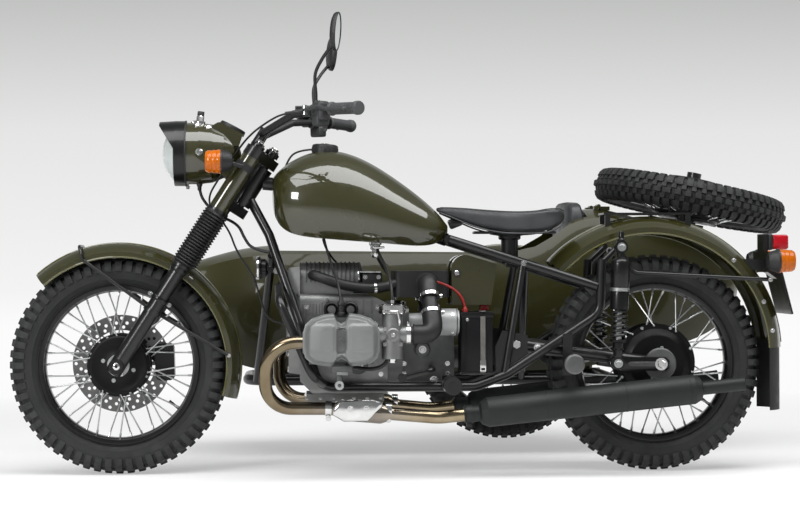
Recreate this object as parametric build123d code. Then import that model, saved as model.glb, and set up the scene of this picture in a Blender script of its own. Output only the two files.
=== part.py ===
"""Sidecar motorcycle: a flat-twin motorcycle with a steel sidecar on its right-hand side.

Design frame, in millimetres: X runs rearwards from the front axle, Y to the right from the
motorcycle's centre plane (the sidecar is at +Y), Z up from the ground.  The finished pieces are moved
together so that the origin is on the ground under the middle of the whole vehicle.
"""

from build123d import *
from math import atan2, cos, degrees, hypot, radians, sin, tan
import os

# Wheels and stance
TYRE_R = 327.5
TYRE_W = 108.0
BEAD_R = 226.0
RIM_WIDTH = 66.0
RIM_DEPTH = 13.0
WHEELBASE = 1614.0
TRACK = 1140.0
SIDECAR_LEAD = 336.0
AXLE_R = 10.0
BEARING_GAP = 0.1
SPOKES = 40
SPOKE_W = 4.0
SEAT_GAP = 0.3

# Front fork and steering
RAKE = 32.6
FORK_HALF = 100.0
YOKE_OFFSET = 45.0
SLIDER_R = 24.0
SLIDER_LEN = 346.0
STANCHION_R = 20.0
STANCHION_TOP = 774.0
COVER_R = 27.0
COVER_WALL = 3.0
COVER_BOTTOM = 546.0
COVER_SLOT_SHY = 3.0
YOKE_THICK = 30.0
UPPER_YOKE = 735.0
LOWER_YOKE = 565.0
CLAMP_WALL = 8.5
STEM_R = 15.0
HEAD_TUBE_R = 30.0
GAITER_R = 36.0
GAITER_CUFF = 12.0
PLEATS = 19
PLEAT_DEEP = 6.5

# Brake, handlebar and lamps
DISC_R = 147.5
DISC_THICK = 5.0
DISC_Y = 64.0
BAR_R = 11.0
GRIP_R = 17.0
BAR_HALF = 376.0
LAMP_R = 93.0
LAMP_X = 199.0
LAMP_Z = 961.0
LAMP_LEN = 166.0
INDICATOR_R = 35.0

# Fenders
SHEET = 2.5
FRONT_FENDER_R = 367.0
FRONT_FENDER_HALF = 70.0
FRONT_FENDER_SKIRT = 45.0
REAR_FENDER_R = 411.0
REAR_FENDER_HALF = 95.0
REAR_FENDER_SKIRT = 54.0
REAR_FENDER_AT = (1594.0, 360.0)
STAY_R = 5.0

# Frame
TUBE_R = 14.0
CRADLE_HALF = 140.0
CRADLE_Z = 264.0
RAIL_FRONT = (985.0, 105.0, 700.0)
RAIL_REAR = (1423.0, 140.0, 559.0)
PIVOT = (1182.0, 387.0)
SHOCK_TOP = (1486.0, 676.0)
SHOCK_LOW = (1475.0, 333.0)
SHOCK_Y = 190.0
PIN_R = 8.0

# Engine and transmission
CRANK_Z = 410.0
LEFT_CYLINDER_X = 658.0
CYLINDER_OFFSET = 37.0
CASE_HALF = 105.0
CASE_FRONT = 540.0
TIMING_FRONT = 506.0
CASE_REAR = 800.0
CASE_TOP = 540.0
CASE_BOTTOM = 240.0
BARREL_R = 54.0
FIN_R = 72.0
FIN_THICK = 4.0
FINS = 8
BARREL_OUT = 240.0
HEAD_OUT = 305.0
COVER_OUT = 352.0
ROCKER_LEN = 217.0
ROCKER_HIGH = 152.0
GEARBOX_HALF = 85.0
GEARBOX_REAR = 1000.0

# Exhaust
PIPE_R = 19.0
PIPE_Y = 190.0
PIPE_TURN = 92.0
SILENCER_R = 44.0
SILENCER_FRONT = (1065.0, 189.0)
SILENCER_REAR = (1727.0, 258.0)
TAIL_R = 20.0
TAIL_LEN = 124.0

# Sidecar
SIDECAR_Y = 660.0
WALL = 4.0
BULKHEAD_X = 1492.0
COCKPIT_FRONT = 470.0
BOOT_FRONT = 1534.0
BOOT_REAR = 1930.0
BOOT_HALF = 118.0
LID_GAP = 3.0
HINGE_R = 6.0
SIDECAR_TUBE_R = 17.0
SIDECAR_FRAME_Z = 250.0
SIDECAR_FENDER_R = 372.0
SIDECAR_FENDER_HALF = 85.0
SPARE_AT = (1858.0, 838.0)
SPARE_TILT = 11.5

REAR_AXLE_X = WHEELBASE
SIDECAR_AXLE_X = WHEELBASE - SIDECAR_LEAD
RIGHT_CYLINDER_X = LEFT_CYLINDER_X + CYLINDER_OFFSET
BOTH = (-1, 1)

SIN_RAKE = sin(radians(RAKE))
COS_RAKE = cos(radians(RAKE))
# Fork frame: origin at the front axle, Z up the fork legs, X square to them towards the rear.
FORK = Plane(origin=(0, 0, TYRE_R), x_dir=(COS_RAKE, 0, -SIN_RAKE), z_dir=(SIN_RAKE, 0, COS_RAKE))


def at_fork(x, y, z):
    """Design-frame point of a point given in the fork frame."""
    return tuple(FORK.from_local_coords(Vector(x, y, z)))


def rod(start, end, radius):
    """Round bar from one point to another."""
    start, end = Vector(*start), Vector(*end)
    axis = Plane(origin=start, z_dir=end - start)
    return axis * Cylinder(radius, (end - start).length, align=(Align.CENTER, Align.CENTER, Align.MIN))


def tube(points, radius, bends):
    """Round bar bent along straight runs joined by arcs."""
    path = FilletPolyline(*points, radius=bends)
    section = Plane(origin=path @ 0, z_dir=path % 0) * Circle(radius)
    return sweep(section, path=path)


def block(x0, x1, y0, y1, z0, z1):
    """Box between two corners."""
    box = Box(x1 - x0, y1 - y0, z1 - z0)
    return Pos((x0 + x1) / 2, (y0 + y1) / 2, (z0 + z1) / 2) * box


def side_plate(outline, y0, y1):
    """Plate cut to an outline of (x, z) points and filling a span across the vehicle."""
    face = make_face(Polyline(*[(x, 0, z) for x, z in outline], close=True))
    return extrude(Pos(0, y0, 0) * face, amount=y1 - y0, dir=(0, 1, 0))


def turned(points, axis_plane):
    """Solid of revolution from (radius, along) points about the Z axis of a plane."""
    face = make_face(Polyline(*[(r, 0, a) for r, a in points], close=True))
    return axis_plane * revolve(face, axis=Axis.Z)


def pair(make):
    """Left and right copies of a piece made by a function of its side, -1 left and 1 right."""
    return Compound(children=[solid for side in BOTH for solid in make(side).solids()])


def hull_section(x, y, row):
    """Closed section across the vehicle: flat bottom, bulged sides and crowned top.

    Columns: bottom half width, widest half width, shoulder half width, then the heights of the
    bottom, the widest place, the shoulder and the crown.
    """
    bottom, widest, shoulder, z_bottom, z_widest, z_shoulder, z_crown = row
    across = Plane(origin=(x, y, 0), x_dir=(0, 1, 0), z_dir=(1, 0, 0))
    edges = [
        Line((-bottom, z_bottom), (bottom, z_bottom)),
        ThreePointArc((bottom, z_bottom), (widest, z_widest), (shoulder, z_shoulder)),
        ThreePointArc((shoulder, z_shoulder), (0, z_crown), (-shoulder, z_shoulder)),
        ThreePointArc((-shoulder, z_shoulder), (-widest, z_widest), (-bottom, z_bottom)),
    ]
    return across * make_face(edges)


def eased(xs, values, x):
    """Value at x on a smooth curve through points, with no overshoot between them."""
    slopes = [(v1 - v0) / (x1 - x0) for x0, x1, v0, v1 in zip(xs, xs[1:], values, values[1:])]
    tangents = [slopes[0]]
    for before, after in zip(slopes, slopes[1:]):
        tangents.append(2 * before * after / (before + after) if before * after > 0 else 0.0)
    tangents.append(slopes[-1])
    i = max(k for k in range(len(slopes)) if xs[k] <= x)
    span = xs[i + 1] - xs[i]
    t = (x - xs[i]) / span
    rise = 3 * t * t - 2 * t ** 3
    start, end = t * (1 - t) ** 2 * tangents[i], t * t * (t - 1) * tangents[i + 1]
    return values[i] + (values[i + 1] - values[i]) * rise + span * (start + end)


def hull(table, y=0.0, inset=0.0, sections=7):
    """Body lofted through a table whose first column is x and the rest are hull_section's columns."""
    columns = list(zip(*table))
    xs = columns[0]
    faces = []
    for k in range(sections):
        x = min(xs[0] + (xs[-1] - xs[0]) * k / (sections - 1), xs[-1])
        b, w, s, zb, zw, zs, zc = [eased(xs, column, x) for column in columns[1:]]
        row = (b - inset, w - inset, s - inset, zb + inset, zw, zs - inset, zc - inset)
        faces.append(hull_section(x, y, row))
    return loft(faces)


def fender(radius, half, skirt, centre, first, last, y=0.0):
    """Wheel fender bent round an axis across the vehicle, between two angles above the rear horizon."""
    edge = radius - skirt
    shoulder = edge + skirt * 0.35
    section = make_face(
        [
            Line((-half, edge), (-half, shoulder)),
            ThreePointArc((-half, shoulder), (0, radius), (half, shoulder)),
            Line((half, shoulder), (half, edge)),
            Line((half, edge), (half - SHEET, edge)),
            Line((half - SHEET, edge), (half - SHEET, shoulder)),
            ThreePointArc((half - SHEET, shoulder), (0, radius - SHEET), (SHEET - half, shoulder)),
            Line((SHEET - half, shoulder), (SHEET - half, edge)),
            Line((SHEET - half, edge), (-half, edge)),
        ]
    )
    start = Plane(
        origin=(centre[0], y, centre[1]),
        x_dir=(0, 1, 0),
        z_dir=(sin(radians(first)), 0, -cos(radians(first))),
    )
    turn = Axis((centre[0], y, centre[1]), (0, -1, 0))
    return revolve(start * section, axis=turn, revolution_arc=last - first)


# Wheels, each about its own centre with its axle along Y
WHEEL_AXIS = Plane(origin=(0, 0, 0), x_dir=(1, 0, 0), z_dir=(0, 1, 0))
RIM_R = BEAD_R + 14.0
RIM_INNER_R = BEAD_R - RIM_DEPTH + 6.0
RIM_LIP = 5.0


def tyre():
    half = TYRE_W / 2
    wall = BEAD_R + 56.0
    shoulder = TYRE_R - 16.0
    seat = RIM_WIDTH / 2 - RIM_LIP - SEAT_GAP
    foot, lip = BEAD_R + SEAT_GAP, RIM_R + 1.0
    edge = 0.86 * half
    section = make_face(
        [
            Line((seat, lip), (seat, foot)),
            Line((seat, foot), (-seat, foot)),
            Line((-seat, foot), (-seat, lip)),
            ThreePointArc((-seat, lip), (-half, wall), (-edge, shoulder)),
            ThreePointArc((-edge, shoulder), (0, TYRE_R), (edge, shoulder)),
            ThreePointArc((edge, shoulder), (half, wall), (seat, lip)),
        ]
    )
    across = Plane(origin=(0, 0, 0), x_dir=(0, 1, 0), z_dir=(1, 0, 0))
    return revolve(across * section, axis=Axis.Y)


def spokes(flange_r, flange_y):
    """Crossed wire spokes from both hub flanges to the rim."""
    wires = []
    step = 360.0 / SPOKES
    for i in range(SPOKES):
        side = BOTH[i % 2]
        lean = 1.6 * step if (i // 2) % 2 else -1.6 * step
        turn = radians(i * step)
        foot = radians(i * step + lean)
        start = Vector((flange_r - 3) * cos(foot), side * flange_y, (flange_r - 3) * sin(foot))
        end_r = RIM_INNER_R + 4.0
        end = Vector(end_r * cos(turn), side * 6.0, end_r * sin(turn))
        section = Plane(origin=start, z_dir=end - start) * Rectangle(SPOKE_W, SPOKE_W)
        wires.append(extrude(section, amount=(end - start).length))
    return wires


def spoked_wheel(hub_profile, flange_r, flange_y):
    """Rim, spokes and hub as one piece; the hub profile holds (radius, y) points."""
    half = RIM_WIDTH / 2
    rim = turned(
        [
            (RIM_INNER_R, -half * 0.55),
            (BEAD_R - 2.0, -half * 0.8),
            (BEAD_R - 2.0, -half),
            (RIM_R, -half),
            (RIM_R, -half + RIM_LIP),
            (BEAD_R, -half + RIM_LIP),
            (BEAD_R, half - RIM_LIP),
            (RIM_R, half - RIM_LIP),
            (RIM_R, half),
            (BEAD_R - 2.0, half),
            (BEAD_R - 2.0, half * 0.8),
            (RIM_INNER_R, half * 0.55),
        ],
        WHEEL_AXIS,
    )
    bore = AXLE_R + BEARING_GAP
    ends = [(bore, hub_profile[-1][1]), (bore, hub_profile[0][1])]
    hub = turned(list(hub_profile) + ends, WHEEL_AXIS)
    return rim.fuse(hub, *spokes(flange_r, flange_y)).clean()


FRONT_HUB = [
    (60, -61), (85, -58), (85, -42), (94, -42), (94, -34), (48, -30),
    (48, 30), (94, 34), (94, 42), (72, 42), (72, DISC_Y - DISC_THICK / 2 - SEAT_GAP),
]
DRUM_HUB = [
    (40, -74), (92, -72), (104, -58), (118, -56), (118, -48), (72, -44),
    (72, 44), (118, 48), (118, 56), (104, 58), (104, 66),
]


def brake_disc():
    """Drilled ring on a carrier, at its place on the front wheel."""
    ring = Cylinder(DISC_R, DISC_THICK) - Cylinder(DISC_R - 46.0, DISC_THICK)
    drill = Cylinder(5.0, DISC_THICK * 2)
    rows = [(DISC_R - 10.0, 24, 0.0), (DISC_R - 24.0, 24, 7.5), (DISC_R - 37.0, 24, 3.0)]
    for radius, count, start in rows:
        ring -= PolarLocations(radius, count, start_angle=start) * drill
    carrier = Cylinder(70.0, DISC_THICK) - Cylinder(AXLE_R + 12.0, DISC_THICK)
    arms = PolarLocations(87.0, 10) * Box(40.0, 12.0, DISC_THICK)
    return Pos(0, DISC_Y, 0) * (WHEEL_AXIS * (ring + carrier + arms))


# Front fork, in the fork frame
def fork_legs():
    parts = []
    for side in BOTH:
        y = side * FORK_HALF
        leg = rod((0, y, -26), (0, y, SLIDER_LEN), SLIDER_R)
        leg += rod((0, y, SLIDER_LEN - 160), (0, y, SLIDER_LEN - 148), SLIDER_R + 4)
        leg += rod((0, y, SLIDER_LEN), (0, y, STANCHION_TOP), STANCHION_R)
        leg += rod((0, y, STANCHION_TOP - 8), (0, y, STANCHION_TOP + 2), STANCHION_R + 2)
        parts.append(leg)
    axle = rod((0, -FORK_HALF - SLIDER_R - 6, 0), (0, FORK_HALF + SLIDER_R + 6, 0), AXLE_R)
    return FORK * (parts[0] + parts[1] + axle)


def yoke_plate(bottom, clamp_r):
    """Flat yoke between the legs and the steering stem."""
    outline = make_hull(
        [
            *(Pos(0, -FORK_HALF) * Circle(clamp_r)).edges(),
            *(Pos(0, FORK_HALF) * Circle(clamp_r)).edges(),
            *(Pos(YOKE_OFFSET, 0) * Circle(STEM_R + 18)).edges(),
        ]
    )
    plate = Pos(0, 0, bottom) * extrude(outline, amount=YOKE_THICK)
    for side in BOTH:
        plate -= Pos(0, side * FORK_HALF, bottom + YOKE_THICK / 2) * Cylinder(
            STANCHION_R + BEARING_GAP, YOKE_THICK * 2
        )
    return plate


def lower_yoke():
    """Lower yoke, narrow enough at the legs to stay inside their covers."""
    inner = COVER_R - COVER_WALL - SEAT_GAP
    plate = yoke_plate(LOWER_YOKE, inner)
    for side in BOTH:
        keep = Pos(0, side * FORK_HALF, LOWER_YOKE + YOKE_THICK / 2)
        shell = Cylinder(COVER_R + SEAT_GAP, YOKE_THICK) - Cylinder(inner, YOKE_THICK)
        short = COVER_SLOT_SHY + SEAT_GAP
        arm = Pos(0, -side * (COVER_R + short), 0) * Box(2 * COVER_R, 2 * COVER_R, YOKE_THICK)
        plate -= keep * (shell - arm)
    return plate


RISER_X = -10.0
RISER_Y = 45.0
RISER_TOP = 813.0


def fork_yokes():
    body = yoke_plate(UPPER_YOKE, STANCHION_R + CLAMP_WALL) + lower_yoke()
    body += rod((YOKE_OFFSET, 0, LOWER_YOKE), (YOKE_OFFSET, 0, UPPER_YOKE + YOKE_THICK + 14), STEM_R)
    for side in BOTH:
        foot = (RISER_X, side * RISER_Y, UPPER_YOKE + YOKE_THICK / 2)
        head = (RISER_X, side * RISER_Y, RISER_TOP + BAR_R + 6)
        body += rod(foot, head, 15.0)
    bar = rod((RISER_X, -90, RISER_TOP), (RISER_X, 90, RISER_TOP), BAR_R + BEARING_GAP)
    return FORK * (body - bar)


def fork_covers():
    """Painted tubes over the upper legs, with the ears that hold the headlamp."""
    def cover(side):
        y = side * FORK_HALF
        top = UPPER_YOKE - SEAT_GAP
        shell = rod((0, y, COVER_BOTTOM), (0, y, top), COVER_R)
        shell -= rod((0, y, COVER_BOTTOM), (0, y, top), COVER_R - COVER_WALL)
        slot = Pos(YOKE_OFFSET / 2, y - side * COVER_R, LOWER_YOKE + YOKE_THICK / 2)
        shell -= slot * Box(
            2 * COVER_R + YOKE_OFFSET, 2 * (COVER_R - COVER_SLOT_SHY), YOKE_THICK + 2 * SEAT_GAP
        )
        shell = FORK * shell
        low, high = at_fork(0, y, 640), at_fork(0, y, 700)
        ear = side_plate(
            [(low[0], low[2]), (high[0], high[2]), (LAMP_X + 45, LAMP_Z + 16), (LAMP_X + 30, LAMP_Z - 12)],
            *sorted((side * (LAMP_R + 2), side * (LAMP_R + 6))),
        )
        bore = FORK * rod((0, y, COVER_BOTTOM), (0, y, top), COVER_R - COVER_WALL)
        return shell + (ear - bore)

    return pair(cover)


def fork_gaiters():
    """Pleated bellows between the covers and the sliders."""
    def gaiter(side):
        low, high = SLIDER_LEN + SEAT_GAP, COVER_BOTTOM - SEAT_GAP
        inner = STANCHION_R + SEAT_GAP
        pitch = (high - low - 2 * GAITER_CUFF) / PLEATS
        points = [(inner, low), (SLIDER_R + 4, low), (SLIDER_R + 4, low + GAITER_CUFF)]
        for i in range(PLEATS):
            fold = low + GAITER_CUFF + i * pitch
            points += [(GAITER_R, fold + pitch / 2), (GAITER_R - PLEAT_DEEP, fold + pitch)]
        points += [(COVER_R + 2, high - GAITER_CUFF + 1), (COVER_R + 2, high), (inner, high)]
        axis = Plane(origin=(0, side * FORK_HALF, 0), x_dir=(1, 0, 0), z_dir=(0, 0, 1))
        return FORK * turned(points, axis)

    return pair(gaiter)


# Headlamp, along an axis that runs rearwards from its rim
LAMP_AXIS = Plane(origin=(LAMP_X, 0, LAMP_Z), x_dir=(0, 0, 1), z_dir=(1, 0, 0))
RIM_BAND = 34.0
VISOR_REACH = 66.0


def headlamp_shell():
    profile = [
        (0, 0), (LAMP_R, 0), (LAMP_R, 40), (LAMP_R - 5, 80), (LAMP_R - 20, 115),
        (LAMP_R - 43, 145), (LAMP_R - 68, LAMP_LEN - 6), (0, LAMP_LEN),
    ]
    shell = turned(profile, LAMP_AXIS)
    hood = side_plate(
        [(LAMP_X + 60, LAMP_Z + 70), (LAMP_X + 96, LAMP_Z + 91), (LAMP_X + 103, LAMP_Z + 92),
         (LAMP_X + 172, LAMP_Z + 56), (LAMP_X + 160, LAMP_Z + 20), (LAMP_X + 100, LAMP_Z + 20)],
        -48, 48,
    )
    return shell + hood


def headlamp_rim():
    outer = LAMP_R + 5
    band = turned(
        [(LAMP_R - 8, -SEAT_GAP), (outer, -SEAT_GAP), (outer, 2 - RIM_BAND), (LAMP_R - 8, -RIM_BAND)],
        LAMP_AXIS,
    )
    visor = turned(
        [(outer - 4, -RIM_BAND + 6), (outer, -RIM_BAND + 6), (outer - 3, -VISOR_REACH - 12),
         (outer - 7, -VISOR_REACH - 12)],
        LAMP_AXIS,
    )
    below = side_plate(
        [(LAMP_X - RIM_BAND, LAMP_Z - 140), (LAMP_X - RIM_BAND, LAMP_Z + 10),
         (LAMP_X - VISOR_REACH - 14, LAMP_Z + 84), (LAMP_X - 140, LAMP_Z + 84), (LAMP_X - 140, LAMP_Z - 140)],
        -140, 140,
    )
    return band + (visor - below)


def headlamp_lens():
    edge = LAMP_R - 8 - SEAT_GAP
    bulge = 34.0
    ball = (edge ** 2 + bulge ** 2) / (2 * bulge)
    middle = RIM_BAND + 2 + bulge - ball
    half_way = -middle - (ball ** 2 - (edge / 2) ** 2) ** 0.5
    profile = make_face(
        [
            Line((0, 0, -8), (edge, 0, -8)),
            Line((edge, 0, -8), (edge, 0, -RIM_BAND - 2)),
            ThreePointArc((edge, 0, -RIM_BAND - 2), (edge / 2, 0, half_way), (0, 0, -RIM_BAND - 2 - bulge)),
            Line((0, 0, -RIM_BAND - 2 - bulge), (0, 0, -8)),
        ]
    )
    return LAMP_AXIS * revolve(profile, axis=Axis.Z)


INDICATOR_X = 262.0
INDICATOR_Y = 166.0
INDICATOR_Z = 929.0
LENS_LEN = 49.0
CUP_LEN = 33.0


def indicator(side, at_x, y, z, facing):
    """Round lamp with its lens turned to the front (-1) or rear (1)."""
    axis = Plane(origin=(at_x, side * y, z), z_dir=(-facing, 0, 0))
    r = INDICATOR_R
    body = turned(
        [(0, 0), (r - 4, 0), (r, 5), (r, LENS_LEN), (r - 1, LENS_LEN), (r - 3, LENS_LEN + CUP_LEN - 8),
         (r - 14, LENS_LEN + CUP_LEN), (0, LENS_LEN + CUP_LEN)],
        axis,
    )
    return body


def front_indicators():
    def lamp(side):
        body = indicator(side, INDICATOR_X, INDICATOR_Y, INDICATOR_Z, -1)
        leg = at_fork(0, side * FORK_HALF, 700)
        stalk_x = INDICATOR_X + LENS_LEN + CUP_LEN / 2
        inner = (stalk_x, side * (FORK_HALF + COVER_R + 1), INDICATOR_Z)
        body += rod((stalk_x, side * INDICATOR_Y, INDICATOR_Z), inner, 8.0)
        cover = rod(at_fork(0, side * FORK_HALF, 500), at_fork(0, side * FORK_HALF, 760), COVER_R + SEAT_GAP)
        foot = rod((stalk_x, inner[1], INDICATOR_Z), (leg[0], side * (FORK_HALF + 20), leg[2]), 8.0)
        return body + (foot - cover)

    return pair(lamp)


# Handlebar, its levers and mirrors
BAR_CLAMP = at_fork(RISER_X, 0, RISER_TOP)
GRIP_IN = (618.0, 270.0, 1076.0)
GRIP_OUT = (704.0, BAR_HALF, 1071.0)


def bar_points(side):
    """Points of one half of the handlebar, from the clamp to the end of the grip."""
    return [
        (BAR_CLAMP[0], side * 80.0, BAR_CLAMP[2]),
        (BAR_CLAMP[0] + 90, side * 170.0, BAR_CLAMP[2] + 48),
        (GRIP_IN[0], side * GRIP_IN[1], GRIP_IN[2]),
    ]


def handlebar():
    left = bar_points(-1)
    right = bar_points(1)
    ends = [(GRIP_OUT[0], side * GRIP_OUT[1], GRIP_OUT[2]) for side in BOTH]
    path = [ends[0]] + left[::-1] + right + [ends[1]]
    bar = tube(path, BAR_R, 30.0)
    for side, end in zip(BOTH, ends):
        inner = Vector(GRIP_IN[0] + 12, side * (GRIP_IN[1] + 15), GRIP_IN[2] - 1)
        bar += rod(inner, end, GRIP_R)
        out = (Vector(*end) - inner).normalized()
        bar += rod(end, Vector(*end) + out * 8, GRIP_R + 2)
    return bar


def hand_controls():
    """Lever perch, switch box and lever on each side, clamped round the bar."""
    def control(side):
        bend, grip = bar_points(side)[1], bar_points(side)[2]
        run = (Vector(*grip) - Vector(*bend)).normalized()
        middle = Vector(*grip) - run * 34
        axis = Plane(origin=middle, z_dir=run)
        body = axis * Cylinder(BAR_R + 12, 52)
        body += Pos(middle.X, middle.Y, middle.Z - 22) * Box(34, 40, 52)
        lever_in = middle + Vector(-46, side * 6, -4)
        lever_out = lever_in + Vector(84, side * 118, -6)
        body += rod(middle, lever_in, 11)
        body += rod(lever_in, lever_out, 6)
        bore = rod(tuple(middle - run * 60), tuple(middle + run * 60), BAR_R + BEARING_GAP)
        return body - bore

    return pair(control)


MIRROR_AT = (640.0, 296.0, 1297.0)
MIRROR_HALF = (40.0, 57.0)
MIRROR_THICK = 20.0


def mirrors():
    def mirror_arm(side):
        bend, grip = bar_points(side)[1], bar_points(side)[2]
        run = (Vector(*grip) - Vector(*bend)).normalized()
        foot = Vector(*grip) - run * 44 + Vector(0, 0, BAR_R + 16)
        knee = Vector(foot.X - 2, side * (abs(foot.Y) + 10), foot.Z + 78)
        top = Vector(MIRROR_AT[0] - 8, side * MIRROR_AT[1], MIRROR_AT[2] - MIRROR_HALF[1] + 16)
        arm = tube([foot, knee, top], 5.0, 40.0)
        facing = Plane(origin=(MIRROR_AT[0], side * MIRROR_AT[1], MIRROR_AT[2]),
                       x_dir=(0.25, -side, 0), z_dir=(1, side * 0.25, -0.08))
        dish = extrude(Ellipse(*MIRROR_HALF), amount=MIRROR_THICK / 2, both=True)
        dish = fillet(dish.edges().group_by(Axis.Z)[0], MIRROR_THICK * 0.6)
        return arm + facing * dish

    return pair(mirror_arm)


# Front fender and brake caliper
def front_fender():
    return fender(FRONT_FENDER_R, FRONT_FENDER_HALF, FRONT_FENDER_SKIRT, (0, TYRE_R), -16.5, 132.5)


STAY_Y = FRONT_FENDER_HALF + STAY_R + 2 * SEAT_GAP
COLLAR_S = SLIDER_LEN - 154.0


def front_fender_stays():
    """Bent rods from a collar on each slider over the front of the fender and to its tail."""
    hoop_r = FRONT_FENDER_R + STAY_R + 2 * SEAT_GAP
    hoop_angle = radians(108)
    tail_angle = radians(5)
    hoop = Vector(cos(hoop_angle), 0, sin(hoop_angle))
    tail = Vector(cos(tail_angle), 0, sin(tail_angle))
    axle = Vector(0, 0, TYRE_R)
    edge_r = FRONT_FENDER_R - FRONT_FENDER_SKIRT + 8
    collar = at_fork(0, 0, COLLAR_S)
    rods = []
    for side in BOTH:
        y = side * STAY_Y
        foot = (collar[0], side * (FORK_HALF - SLIDER_R - 4 - SEAT_GAP - STAY_R), collar[2])
        edge = axle + hoop * edge_r
        back = axle + tail * edge_r
        rods.append(rod(foot, (edge.X, y, edge.Z), STAY_R))
        rods.append(rod(foot, (back.X, y, back.Z), STAY_R))
    low, high = axle + hoop * edge_r, axle + hoop * hoop_r
    over = tube(
        [(low.X, -STAY_Y, low.Z), (high.X, -STAY_Y, high.Z), (high.X, STAY_Y, high.Z), (low.X, STAY_Y, low.Z)],
        STAY_R, 30.0,
    )
    return sum(rods[1:], rods[0]) + over


CALIPER_R = 131.0
CALIPER_ANGLE = 2.0
PAD_GAP = 2.0


def brake_caliper():
    """Caliper astride the disc, behind the right-hand leg, with its bracket."""
    turn = radians(CALIPER_ANGLE)
    middle = (CALIPER_R * cos(turn), DISC_Y, TYRE_R + CALIPER_R * sin(turn))
    body = Pos(0, 6, 0) * Pos(*middle) * Rot(0, -CALIPER_ANGLE, 0) * Box(58, 50, 112)
    body = fillet(body.edges().filter_by(Axis.Y), 16)
    slot = Pos(middle[0] - 20, DISC_Y, middle[2]) * Box(92, DISC_THICK + 2 * PAD_GAP, 140)
    bracket = side_plate(
        [(30, TYRE_R + 70), (72, TYRE_R + 120), (middle[0] + 10, TYRE_R + 40), (middle[0], TYRE_R - 30)],
        DISC_Y + DISC_THICK / 2 + 8, DISC_Y + DISC_THICK / 2 + 16,
    )
    leg = FORK * rod((0, FORK_HALF, -30), (0, FORK_HALF, SLIDER_LEN), SLIDER_R + SEAT_GAP)
    return (body - slot) + bracket - leg


# Motorcycle frame
def frame():
    head = Pos(YOKE_OFFSET, 0, 0) * (
        rod((0, 0, LOWER_YOKE + YOKE_THICK + 5), (0, 0, UPPER_YOKE - 5), HEAD_TUBE_R)
        - rod((0, 0, LOWER_YOKE), (0, 0, UPPER_YOKE), STEM_R + BEARING_GAP)
    )
    head = FORK * head
    crown = Vector(*at_fork(YOKE_OFFSET + HEAD_TUBE_R - 6, 0, 690))
    lower = Vector(*at_fork(YOKE_OFFSET + HEAD_TUBE_R - 8, 0, 625))
    parts = [tube([crown, (crown.X + 90, 0, crown.Z - 8), (RAIL_FRONT[0], 0, RAIL_FRONT[2])], 20.0, 60.0)]
    parts.append(rod((RAIL_FRONT[0], -RAIL_FRONT[1], RAIL_FRONT[2]), RAIL_FRONT, TUBE_R))
    for side in BOTH:
        y = side * CRADLE_HALF
        parts.append(
            tube(
                [
                    (1437, y, 640), (1430, y, 480), (1154, y, 300), (1060, y, CRADLE_Z),
                    (596, y, CRADLE_Z), (540, side * 132, 449), (448, side * 48, 716),
                    (lower.X, side * 10, lower.Z),
                ],
                TUBE_R, [60, 70, 60, 60, 40, 60],
            )
        )
        rail_rear = (RAIL_REAR[0], side * RAIL_REAR[1], RAIL_REAR[2])
        rail_front = (RAIL_FRONT[0], side * RAIL_FRONT[1], RAIL_FRONT[2])
        parts.append(rod(rail_front, rail_rear, TUBE_R))
        parts.append(rod((1204, side * 122, 629), (1146, y, 300), TUBE_R - 2))
        plate = side_plate([(1120, 300), (1215, 360), (1215, 415), (1140, 430), (1118, 380)],
                           *sorted((side * 128, side * 136)))
        parts.append(plate)
        mount = Vector(SHOCK_TOP[0], side * (CRADLE_HALF - 2), SHOCK_TOP[1])
        parts.append(rod((1437, y, 630), mount, 10.0))
        parts.append(rod(mount, (mount.X, side * (SHOCK_Y + 16), mount.Z), PIN_R))
    parts.append(rod((1204, -122, 629), (1204, 122, 629), TUBE_R - 2))
    parts.append(rod((1176, 0, 629), (1176, 0, 700), 26.0))
    parts.append(block(1164, 1216, -20, 20, 617, 641))
    parts.append(rod((PIVOT[0], -128, PIVOT[1]), (PIVOT[0], 128, PIVOT[1]), 16.0))
    body = head
    for piece in parts:
        body += piece
    stem = rod((YOKE_OFFSET, 0, LOWER_YOKE - 10), (YOKE_OFFSET, 0, UPPER_YOKE + 40), STEM_R + BEARING_GAP)
    return body - FORK * stem


def engine_guards():
    """Bent bars from the down tubes round the front of each cylinder to the cradle."""
    def guard(side):
        y = side * CRADLE_HALF
        bar = tube(
            [
                (478, side * 110, 560), (480, side * 214, 520), (575, side * 232, 300),
                (608, side * 160, CRADLE_Z + 12),
            ],
            13.0, 40.0,
        )
        cradle = tube(
            [(700, y, CRADLE_Z), (596, y, CRADLE_Z), (540, side * 132, 449), (448, side * 48, 716)],
            TUBE_R + SEAT_GAP, [60, 40],
        )
        return bar - cradle

    return pair(guard)


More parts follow.
